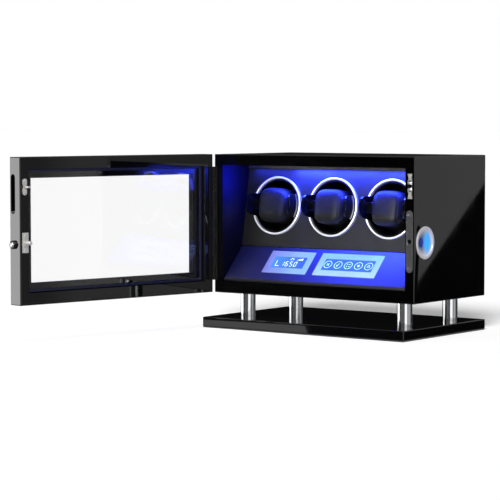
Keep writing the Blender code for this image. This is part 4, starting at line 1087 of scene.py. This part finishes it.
# Nickel plate: warm pale grey, slightly hazy. Kept less metallic than the real 1.0, so that
# it stays light in a dark surround.
nickel, tree, shader = new_material("nickel_plate", "#CFCDC8", roughness=0.3, metallic=0.6)
haze = grain(tree, shader, size=2 * mm, depth=0.004 * mm, detail=3.0)
vary(tree, haze, shader.inputs["Roughness"], low=0.24, high=0.36)
y0 = DOOR_IN + FIT
plate_top = y0 + 1 * mm
plate = slab("striker_plate", (LOCK_X - 5.1 * mm, y0, LOCK_Z - 14 * mm),
             (LOCK_X + 5.1 * mm, plate_top, LOCK_Z + 14 * mm))
ease(plate, 0.4 * mm, 3)
foot_block = slab("foot", (LOCK_X - 4.5 * mm, y0 + 0.5 * mm, LOCK_Z - 4.5 * mm),
                  (LOCK_X + 4.5 * mm, plate_top + 1.6 * mm, LOCK_Z + 4.5 * mm))
ease(foot_block, 0.4 * mm, 2)
PIN_R = 2.9 * mm
NECK_R = 1.2 * mm
front = 2 * mm
neck = front + 4.6 * mm
tip = front + 9.6 * mm
pin = lathe("pin", [(0, plate_top), (PIN_R, plate_top), (PIN_R, neck - 0.2 * mm), (PIN_R - 0.2 * mm, neck),
                    (NECK_R, neck),
                    (NECK_R, neck + 3.8 * mm), (PIN_R - 0.2 * mm, neck + 3.8 * mm), (PIN_R, neck + 4 * mm),
                    (PIN_R, tip - 0.6 * mm), (PIN_R - 0.6 * mm, tip), (0, tip)], 48, "Y")
pin.location = (LOCK_X, 0, LOCK_Z)
screws = copies(screw_head(radius=2.2 * mm, height=0.8 * mm), "screws",
                [Matrix.Translation((LOCK_X, plate_top, LOCK_Z + z)) for z in (-9.2 * mm, 9.2 * mm)])
striker = join("lock_striker", [plate, foot_block, pin, screws])
seat(striker, "door", nickel, ["latch_striker"], DOOR_SWING)


# ---- Catch strike --------------------------------------------------------------------------------
# Small nickel-plated plate with a pressed tongue, higher up on the door's inner face, that snaps
# between the two balls of the catch.

CATCH_X = 342.5 * mm
CATCH_Z = 164 * mm
CATCH_W = 7.4 * mm
lobes = []
for z in (-6 * mm, 6 * mm):
    lobe = extrude_outline("lobe", upright(stadium(CATCH_X, CATCH_Z + z, CATCH_W, 11 * mm), y0),
                           (0, 1.2 * mm, 0))
    ease(lobe, 0.25 * mm, 2, 60)
    lobes.append(lobe)
lobes.append(slab("bridge", (CATCH_X - 2.4 * mm, y0, CATCH_Z - 2 * mm),
                  (CATCH_X + 2.4 * mm, y0 + mm, CATCH_Z + 2 * mm)))
tongue = slab("tongue", (CATCH_X - 2.3 * mm, y0 + 0.6 * mm, CATCH_Z - 1.4 * mm),
              (CATCH_X + 2.3 * mm, front + 7 * mm, CATCH_Z + 1.4 * mm))
ease(tongue, 0.6 * mm, 3)
screws = copies(screw_head(radius=1.9 * mm, height=0.7 * mm), "screws",
                [Matrix.Translation((CATCH_X, y0 + 1.2 * mm, CATCH_Z + z)) for z in (-8 * mm, 8 * mm)])
strike = join("catch_tongue", [*lobes, tongue, screws])
seat(strike, "door", nickel, ["catch_strike"], DOOR_SWING)


# ---- Hinge ---------------------------------------------------------------------------------------
# A continuous hinge rolled from black-finished steel strip: two comb-shaped leaves with knuckles in
# turn, on one long pin in the gap between cabinet and door.

HINGE_L = 168 * mm
KNUCKLES = 9
BARREL_R = 1.7 * mm
BORE_R = 1 * mm
KNUCKLE_PLAY = 0.04 * mm
hinge_line = Matrix.Translation((hinge_at.x, hinge_at.y, cab_low.z))
hinge_foot = (cab_size.z - HINGE_L) / 2
step = HINGE_L / KNUCKLES
# Black oxide: dull black that is hard to tell from the wood beside it.
black_oxide, tree, shader = new_material("black_oxide_steel", "#0B0B0C", roughness=0.5,
                                         Specular_IOR_Level=0.25)
grain(tree, shader, size=0.5 * mm, depth=0.004 * mm, detail=2.0)
leaves = (
    ("hinge_leaf_cabinet", "hinge_comb_cabinet", 6.1 * mm, 0, 1, "cabinet", hinge_line),
    ("hinge_leaf_door", "hinge_comb_door", 8.5 * mm, 1, -1, "door", DOOR_SWING),
)
for node, name, width, owned, height_side, body, place in leaves:
    outer = height_side * 1.7 * mm
    inner = height_side * 0.3 * mm
    low_y, high_y = sorted((outer, inner))
    strip = slab("strip", (BARREL_R + 0.12 * mm, low_y, hinge_foot), (width, high_y, hinge_foot + HINGE_L))
    ease(strip, 0.2 * mm, 2)
    pieces = [strip]
    for k in range(KNUCKLES):
        if k % 2 != owned:
            continue
        low = hinge_foot + k * step + KNUCKLE_PLAY
        high = hinge_foot + (k + 1) * step - KNUCKLE_PLAY
        round_off = 0.1 * mm
        knuckle = lathe("knuckle", [(BORE_R, low), (BARREL_R - round_off, low), (BARREL_R, low + round_off),
                                    (BARREL_R, high - round_off), (BARREL_R - round_off, high),
                                    (BORE_R, high)], 24, "Z")
        tab = slab("tab", (BORE_R + 0.2 * mm, low_y, low), (BARREL_R + 0.8 * mm, high_y, high))
        pieces += [knuckle, tab]
    seat(join(name, pieces), body, black_oxide, [node], place)
dress("hinge_pin", black_oxide)


# ---- Lock ----------------------------------------------------------------------------------------
# The lock's satin faceplate is let into the front edge of the right-hand wall, with a round hole for
# the striker, and covers the moulded lock body and its motor-driven bolt.

FACE_W = 10.8 * mm
FACE_L = 86.7 * mm
FACE_T = 1.5 * mm
HOLE_R = 3.4 * mm
faceplate = extrude_outline("lock_cover", upright(stadium(LOCK_X, LOCK_Z, FACE_W, FACE_L, 16), 0),
                            (0, FACE_T, 0))
hole = lathe("cut_hole", [(0, -past), (HOLE_R, -past), (HOLE_R, past), (0, past)], 48, "Y")
hole.location = (LOCK_X, 0, LOCK_Z)
cut(faceplate, hole)
ease(faceplate, 0.3 * mm, 3, 60)
turned_round = Matrix.Rotation(pi, 4, "Z")
face_screws = copies(screw_head(radius=2.3 * mm, height=0.5 * mm), "cover_screws",
                     [Matrix.Translation((LOCK_X, 0, LOCK_Z + z)) @ turned_round
                      for z in (-37 * mm, 37 * mm)])
cover = join("lock_cover_plate", [faceplate, face_screws])
seat(cover, "cabinet", satin_steel, ["lock_faceplate"], cabinet_place)
dress("lock_body", mould_abs)
dress("lock_bolt", satin_steel)


# ---- Ball catch ----------------------------------------------------------------------------------
# Pressed nickel-plated catch above the lock: a wavy open case with two sprung steel balls that close
# on the door's tongue.

CATCH_L = 36 * mm
CATCH_D = 12 * mm
half_w = CATCH_W / 2
half_l = CATCH_L / 2
wave = []
wave_steps = 40
for k in range(wave_steps + 1):
    share = k / wave_steps
    swell = 0.7 * mm * cos(2 * pi * 3 * share)
    wave.append((CATCH_X + half_w - 0.7 * mm + swell,
                 CATCH_Z - half_l + 0.6 * mm + (CATCH_L - 1.2 * mm) * share))
wave += [(2 * CATCH_X - x, z) for x, z in reversed(wave)]
case = extrude_outline("case", upright(wave, 0), (0, CATCH_D, 0))
BALL_R = 2.6 * mm
room_w = BALL_R + FIT
room_l = 1.7 * mm + 2 * BALL_R + 1 * mm + FIT
cut(case, slab("cut_room", (CATCH_X - room_w, -5 * mm, CATCH_Z - room_l),
               (CATCH_X + room_w, 8 * mm, CATCH_Z + room_l)))
ease(case, 0.3 * mm, 2, 60)
case_screws = copies(screw_head(radius=2.2 * mm, height=0.6 * mm), "case_screws",
                     [Matrix.Translation((CATCH_X, 0, CATCH_Z + z)) @ turned_round
                      for z in (-13.6 * mm, 13.6 * mm)])
case = join("catch_case", [case, case_screws])
seat(case, "cabinet", nickel, ["catch_body"], cabinet_place)
for name, node, body, side in (("upper_ball", "catch_ball_upper", "ball_upper", 1),
                               ("lower_ball", "catch_ball_lower", "ball_lower", -1)):
    select_none()
    bpy.ops.mesh.primitive_uv_sphere_add(segments=32, ring_count=24, radius=BALL_R)
    ball = bpy.context.object
    ball.name = name
    bpy.ops.object.mode_set(mode="EDIT")
    bpy.ops.mesh.select_all(action="SELECT")
    bpy.ops.mesh.normals_make_consistent(inside=False)
    bpy.ops.object.mode_set(mode="OBJECT")
    low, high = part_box(node)
    seat(ball, body, chrome_plate, [node], Matrix.Translation((low + high) / 2))


# ---- Fingerprint reader --------------------------------------------------------------------------
# A turned and pearl-anodised ring is let into the right-hand side. Its dish runs in to a round glass sensor,
# and the blue light of a guide light is painted on the dish's rear half as a glow.

READER_R = 23 * mm
DISH_DEPTH = 6 * mm
# Pearl anodising: pale and soft, with painted shade that makes it darker deeper in the dish. The blue of the
# guide light on the dish's rear half is painted light: emission over a painted blue base colour, and the metal
# is kept less metallic than the real 1.0.
pearl, tree, shader = new_material("pearl_anodised_ring", "#D6D4DA", roughness=0.34, metallic=0.3)
spot = add(tree, "ShaderNodeTexCoord")
lines = add(tree, "ShaderNodeTexNoise", {"Vector": spot.outputs["Object"], "Scale": 1 / (0.5 * mm),
                                         "Detail": 3.0})
relief = add(tree, "ShaderNodeBump", {"Height": lines.outputs[0], "Distance": 0.006 * mm})
tree.links.new(relief.outputs["Normal"], shader.inputs["Normal"])
rear = add(tree, "ShaderNodeSeparateXYZ", {"Vector": spot.outputs["Object"]})
glow = add(tree, "ShaderNodeMapRange", {"Value": rear.outputs["Y"], "From Min": reader_at.y + 1 * mm,
                                        "From Max": reader_at.y + 10 * mm})
inside = add(tree, "ShaderNodeMapRange", {"Value": rear.outputs["X"], "From Min": cab_high.x,
                                          "From Max": cab_high.x - 2 * mm, "To Min": 0.08})
# painted shade: the dish's metal is coloured darker towards its floor
shade = add(tree, "ShaderNodeMapRange", {"Value": rear.outputs["X"], "From Min": cab_high.x - DISH_DEPTH,
                                         "From Max": cab_high.x})
painted_dish_shade = add(tree, "ShaderNodeValToRGB", {"Fac": shade.outputs["Result"]})
painted_dish_shade.color_ramp.elements[0].color = linear("#5A5662")
painted_dish_shade.color_ramp.elements[1].color = linear("#D0CCD2")
lit = add(tree, "ShaderNodeMath", {0: glow.outputs["Result"], 1: inside.outputs["Result"]},
          operation="MULTIPLY")
# painted blue light: the guide light's blue is mixed into the base colour, and glows, on the dish's rear half
painted_guide_glow = add(tree, "ShaderNodeMix", {0: lit.outputs[0], 6: painted_dish_shade.outputs["Color"],
                                      7: linear("#1A3A66")},
              data_type="RGBA")
tree.links.new(painted_guide_glow.outputs[2], shader.inputs["Base Color"])
tree.links.new(lit.outputs[0], shader.inputs["Emission Strength"])
shader.inputs["Emission Color"].default_value = linear("#38A8FF")
flange_x = cab_high.x + FIT
face_x = flange_x + 1 * mm
under = cab_high.x - DISH_DEPTH - DISH_WALL
r = 0.35 * mm
outline = [(SENSOR_R + FIT, under), (SENSOR_R + DISH_WALL, under), (DISH_R + DISH_WALL, cab_high.x),
           (DISH_R + DISH_WALL, flange_x), (READER_R, flange_x), (READER_R, face_x - r),
           (READER_R - r * 0.3, face_x - r * 0.3),
           (READER_R - r, face_x), (DISH_R + r, face_x), (DISH_R + r * 0.3, face_x - r * 0.3),
           (DISH_R, face_x - r),
           (DISH_R - 0.4 * mm, cab_high.x), (SENSOR_R + FIT, under + DISH_WALL)]
reader_place = Matrix.Translation((0, reader_at.y, reader_at.z))
dish = lathe("reader_dish", outline, 112, "X")
seat(dish, "cabinet", pearl, ["fingerprint_ring"], reader_place)
low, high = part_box("fingerprint_sensor")
# Sensor glass: dark blue gloss, lit from behind
sensor_glass = lit_material("sensor_glass", "#14205A", strength=0.35, glows=("#1C2F90", "#2E58D8"), axis="Y",
                            start=low.y, end=high.y, roughness=0.08)
outline = [(0, under), (SENSOR_R, under), (SENSOR_R, under + 0.7 * mm),
           (SENSOR_R - 0.3 * mm, under + 0.9 * mm),
           (0, under + 0.9 * mm)]
sensor = lathe("sensor_pane", outline, 64, "X")
seat(sensor, "cabinet", sensor_glass, ["fingerprint_sensor"], reader_place)


# ---- Studio --------------------------------------------------------------------------------------
# White floor and background. The lacquer mirrors cards that stand in the world by direction. The key
# light leaves out the inside, which lamps linked to chosen pieces light instead: the blue light comes
# from them, section by section, and not from the modelled light channel.

def mirrored_through(tree):
    """1 for a reflection that goes on through the door glass, and 0 for anything else."""
    path = add(tree, "ShaderNodeLightPath")
    mirrored = add(tree, "ShaderNodeMath", {0: path.outputs["Glossy Depth"], 1: 1.0}, operation="MINIMUM")
    return add(tree, "ShaderNodeMath", {0: mirrored.outputs[0], 1: path.outputs["Is Transmission Ray"]},
               operation="MULTIPLY").outputs[0]


# Matt paint that glows faintly, so that it comes out white. Reflections through the glass
# pass it, and see the cards.
floor_paint, tree, shader = new_material("white_floor", "#F4F4F4", roughness=0.9)
grain(tree, shader, size=20 * mm, depth=0.01 * mm, detail=2.0)
shader.inputs["Emission Color"].default_value = (1, 1, 1, 1)
shader.inputs["Emission Strength"].default_value = 0.22
through = mirrored_through(tree)
clear = add(tree, "ShaderNodeBsdfTransparent")
either = add(tree, "ShaderNodeMixShader", {0: through, 1: shader.outputs[0], 2: clear.outputs[0]})
tree.links.new(either.outputs[0], tree.nodes["Material Output"].inputs["Surface"])
select_none()
bpy.ops.mesh.primitive_plane_add(size=60, location=(0, 0, -0.05 * mm))
ground = bpy.context.object
ground.name = "studio_floor"
ground.data.materials.append(floor_paint)
ground.visible_glossy = False

world = bpy.data.worlds.new("studio_world")
scene.world = world
world.use_nodes = True
tree = world.node_tree
back_light = tree.nodes["Background"]
path = add(tree, "ShaderNodeLightPath")
look = add(tree, "ShaderNodeTexCoord")

SIDE_CARD = 0.34
# Angles in radians: height at compass 30.6 degrees is -1.9, at 32.4 it is -4.6
SLANT_RATE = (4.6 - 1.9) / (32.4 - 30.6)
SLANT_AT = radians(-1.9) + SLANT_RATE * radians(30.6)
spread = add(tree, "ShaderNodeSeparateXYZ", {"Vector": look.outputs["Generated"]})
compass = add(tree, "ShaderNodeMath", {0: spread.outputs["X"], 1: spread.outputs["Y"]}, operation="ARCTAN2")
height = add(tree, "ShaderNodeMath", {0: spread.outputs["Z"]}, operation="ARCSINE")


def band(value, low, high, soft):
    """1 between two angles in degrees and 0 outside, with soft edges."""
    rise = add(tree, "ShaderNodeMapRange", {"Value": value, "From Min": radians(low - soft),
                                            "From Max": radians(low)})
    fall = add(tree, "ShaderNodeMapRange", {"Value": value, "From Min": radians(high),
                                            "From Max": radians(high + soft),
                                            "To Min": 1.0, "To Max": 0.0})
    return add(tree, "ShaderNodeMath", {0: rise.outputs["Result"], 1: fall.outputs["Result"]},
               operation="MULTIPLY").outputs[0]


def card(left, right, low, high, level, soft=1.5, soft_height=4.0):
    """Brightness of a studio card in direction space; compass angles run clockwise from +Y."""
    across = band(compass.outputs[0], left, right, soft)
    upright_share = band(height.outputs[0], low, high, soft_height)
    shape = add(tree, "ShaderNodeMath", {0: across, 1: upright_share}, operation="MULTIPLY")
    return add(tree, "ShaderNodeMath", {0: shape.outputs[0], 1: level}, operation="MULTIPLY").outputs[0]


# The grey card behind at the right has a slanting edge: it ends where height falls below a line
# that drops from the rear of the cabinet's side to its front.
slant = add(tree, "ShaderNodeMath", {0: compass.outputs[0], 1: SLANT_RATE, 2: height.outputs[0]},
            operation="MULTIPLY_ADD")
above = add(tree, "ShaderNodeMapRange", {"Value": slant.outputs[0], "From Min": SLANT_AT - 0.0004,
                                         "From Max": SLANT_AT + 0.0004})
side_card = add(tree, "ShaderNodeMath", {0: card(24, 36, -8, 40, SIDE_CARD, 0.5), 1: above.outputs["Result"]},
                operation="MULTIPLY")
# Left, right, low and high edge in degrees, brightness, then the softness of the edges
cards = [
    side_card.outputs[0],
    # soft box at the left, which the door's free edge mirrors
    card(-126, -86, -8, 5, 3.4, 1.5, 1.5),
    card(110, 143, -9, 6, 1.5, 3.0, 2.0),                        # strip light beside the camera
    card(68, 86, -9, 6, 0.55, 3.0, 2.0),                         # strips at the right, dimmer towards the back
    card(48, 64, -12, 12, 0.32, 2.0),
    card(86, 106, -12, 12, 0.3, 2.0),
    card(-205, -156, -12, 12, 0.13),
    card(143, 180, -12, 12, 0.13),
    card(-144.6, -128, -4, 12, 0.02),
    card(215.4 - 360, 226 - 360, -9, -5.35, 0.85, 0.05, 0.05),   # grey board low at the front left
    card(-60, -10, -1, 3.2, 0.015, 3.0, 0.6),     # dim wall behind, seen along the roof
]
total = cards[0]
for one in cards[1:]:
    total = add(tree, "ShaderNodeMath", {0: total, 1: one}, operation="ADD").outputs[0]
DIFFUSE_LEVEL = 0.2
GLOSSY_LEVEL = 0.004
CEILING = 0.35
# White ceiling and floor outside a dark belt round the horizon
ceiling = add(tree, "ShaderNodeMapRange", {"Value": height.outputs[0], "From Min": radians(11),
                                           "From Max": radians(20),
                                           "To Max": CEILING})
below = add(tree, "ShaderNodeMapRange", {"Value": height.outputs[0], "From Min": radians(-13),
                                         "From Max": radians(-22),
                                         "To Max": CEILING})
dome = add(tree, "ShaderNodeMath", {0: ceiling.outputs["Result"], 1: below.outputs["Result"]},
           operation="ADD")
total = add(tree, "ShaderNodeMath", {0: total, 1: dome.outputs[0]}, operation="ADD").outputs[0]
glossy = add(tree, "ShaderNodeMath", {0: total, 1: GLOSSY_LEVEL}, operation="ADD")
through = mirrored_through(tree)
mirrored = add(tree, "ShaderNodeMath", {0: path.outputs["Is Glossy Ray"], 1: through}, operation="MAXIMUM")
seen = add(tree, "ShaderNodeMath", {0: path.outputs["Is Transmission Ray"], 1: through}, operation="SUBTRACT")
direct = add(tree, "ShaderNodeMath", {0: path.outputs["Is Camera Ray"], 1: seen.outputs[0]},
             operation="MAXIMUM")
split = add(tree, "ShaderNodeMix", {0: mirrored.outputs[0], 2: DIFFUSE_LEVEL, 3: glossy.outputs[0]})
level = add(tree, "ShaderNodeMix", {0: direct.outputs[0], 2: split.outputs[0], 3: 1.0})
tree.links.new(level.outputs[0], back_light.inputs["Strength"])
back_light.inputs["Color"].default_value = (1, 1, 1, 1)


def lamp(name, place, target, size, watts, colour="#FFFFFF", size_y=None, diffuse=True, glossy=True):
    """Rectangular soft light aimed at a target."""
    data = bpy.data.lights.new(name, "AREA")
    data.shape = "RECTANGLE"
    data.size = size
    data.size_y = size_y or size
    data.energy = watts
    data.color = linear(colour)[:3]
    made = bpy.data.objects.new(name, data)
    bpy.context.collection.objects.link(made)
    made.location = place
    made.rotation_euler = (Vector(target) - Vector(place)).to_track_quat("-Z", "Y").to_euler()
    made.visible_diffuse = diffuse
    made.visible_glossy = glossy
    made.visible_camera = False
    made.visible_transmission = False
    return made


def light_only(light, receivers, state="INCLUDE", freely=False):
    """Lets a lamp light only the named pieces, or with EXCLUDE all but them; freely past all others."""
    group = bpy.data.collections.new(light.name + "_pieces")
    for name in receivers:
        group.objects.link(frame["nodes"].get(name) or bpy.data.objects[name])
    for entry in group.collection_objects:
        entry.light_linking.link_state = state
    light.light_linking.receiver_collection = group
    if freely:
        light.light_linking.blocker_collection = group


deck_pieces = ["deck_cover", "lcd_frame", "touch_frame", "lcd_glass_pane", "touch_glass_pane"]
rotor_pieces = [f"{name}_{number}" for name in ("pillow_pad", "gloss_cup", "pillow_wings", "chrome_ring")
                for number in stations]
inner_pieces = ["winder_panel", *rotor_pieces]

key_data = bpy.data.lights.new("key_light", "SUN")
KEY_STRENGTH = 3.6
KEY_WIDTH = radians(22)       # a wide sun gives soft shadows
KEY_FROM = Vector((0.33, -0.71, 0.62))
key_data.energy = KEY_STRENGTH
key_data.angle = KEY_WIDTH
key = bpy.data.objects.new("key_light", key_data)
bpy.context.collection.objects.link(key)
key.rotation_euler = (-KEY_FROM).to_track_quat("-Z", "Y").to_euler()
light_only(key, [*deck_pieces, *inner_pieces, "cabinet_carcass"], "EXCLUDE")
# The key light passes the door, which casts no shadow on the floor
unshaded = bpy.data.collections.new("key_passes")
for name in ("door_stiles_and_rails", "glazing_frame", "door_glass"):
    unshaded.objects.link(bpy.data.objects[name])
for entry in unshaded.collection_objects:
    entry.light_linking.link_state = "EXCLUDE"
key.light_linking.blocker_collection = unshaded

LED_BLUE = "#2A3CFF"
STRIP_DEPTH = 8 * mm
WASH_DEPTH = 30 * mm
led_low, led_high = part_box("led_bar")
led_y = (led_low.y + led_high.y) / 2
strips = (                    # share of the width from the left, watts on the panel, watts on the deck
    (0.125, 0.06, 0.01), (0.375, 0.55, 0.45), (0.625, 0.42, 3.6), (0.875, 0.36, 5.6),
)
for k, (share, panel_watts, deck_watts) in enumerate(strips):
    x = led_low.x + (led_high.x - led_low.x) * share
    width = (led_high.x - led_low.x) / 4 * 0.95
    strip_at = (x, led_y, led_low.z - 1 * mm)
    strip = lamp(f"led_strip_{k}", strip_at, (x, led_y + 0.01, 0), width, panel_watts, LED_BLUE, STRIP_DEPTH)
    light_only(strip, inner_pieces)
    wash_at = (x, cab_low.y + 26 * mm, cab_low.z + 118 * mm)
    wash = lamp(f"led_wash_{k}", wash_at, (x, cab_low.y + 27 * mm, 0), width, deck_watts, LED_BLUE, WASH_DEPTH,
                glossy=False)
    light_only(wash, deck_pieces)
CORNER_BLUE = "#0012FF"
CORNER_WATTS = 0.9
corner_at = (cab_low.x + 50 * mm, cab_low.y + 2 * mm, cab_high.z - 35 * mm)
corner_aim = (cab_low.x + SIDE_T, cab_low.y + 2 * mm, cab_high.z - 45 * mm)
wall = lamp("led_corner", corner_at, corner_aim, 30 * mm, CORNER_WATTS, CORNER_BLUE, glossy=False)
light_only(wall, ["cabinet_carcass"])
fill_at = Vector((cab_low.x + 0.8 * cab_size.x, cab_low.y - 0.45, cab_low.z + 130 * mm))
fill_aim = (fill_at.x, cab_low.y, cab_low.z + 75 * mm)
FILL_SIZE = 0.15
FILL_WATTS = 0.2
FILL_SPREAD = radians(58)
soft_fill = lamp("soft_fill", fill_at, fill_aim, FILL_SIZE, FILL_WATTS)
soft_fill.data.spread = FILL_SPREAD
light_only(soft_fill, [*inner_pieces, *deck_pieces])
# White lamps for the rings, and for the left rims of the pads, cups and wings
RINGS_SIZE = 0.3
RINGS_WATTS = 3.0
rings_at = (cab_low.x + 0.5 * cab_size.x, cab_low.y - 0.45, cab_low.z + 0.2)
rings_light = lamp("rings_light", rings_at, (0, 0, 0), RINGS_SIZE, RINGS_WATTS)
rings_light.rotation_euler = (radians(90), 0, 0)
light_only(rings_light, [f"chrome_ring_{number}" for number in stations], freely=True)
RIM_SIZE = 0.1
RIM_WATTS = 0.12
rim_at = (cab_low.x - 0.14, cab_low.y - 0.03, cab_low.z + 0.15)
rim_aim = (cab_low.x + 0.1, cab_low.y + 0.05, cab_low.z + 0.13)
rim = lamp("rim_light", rim_at, rim_aim, RIM_SIZE, RIM_WATTS)
light_only(rim, rotor_pieces[:3 * len(stations)], freely=True)
pads_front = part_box("pillow_2")[0].y
PADS_WATTS = 1.6
tops_x = cab_low.x + 0.58 * cab_size.x
tops_at = (tops_x, pads_front + 1 * mm, cab_high.z - 20 * mm)
tops_aim = (tops_x, pads_front + 12 * mm, cab_low.z + 130 * mm)
tops = lamp("led_pads", tops_at, tops_aim, 0.8 * cab_size.x, PADS_WATTS, LED_BLUE, 6 * mm)
light_only(tops, [f"{name}_{number}" for name in ("gloss_cup", "pillow_pad", "pillow_wings")
                  for number in stations])

# The camera stands level with the cabinet's foot, to its front right, with a long lens.
camera_data = bpy.data.cameras.new("camera")
camera = bpy.data.objects.new("camera", camera_data)
bpy.context.collection.objects.link(camera)
camera.location = (1.74007, -2.54473, 0.31154)
camera.rotation_euler = (radians(90 - 3.6448), 0, radians(36.9055))
camera_data.lens = 151.53
camera_data.sensor_width = 36
camera_data.clip_end = 100
scene.camera = camera
scene.view_settings.view_transform = "Standard"
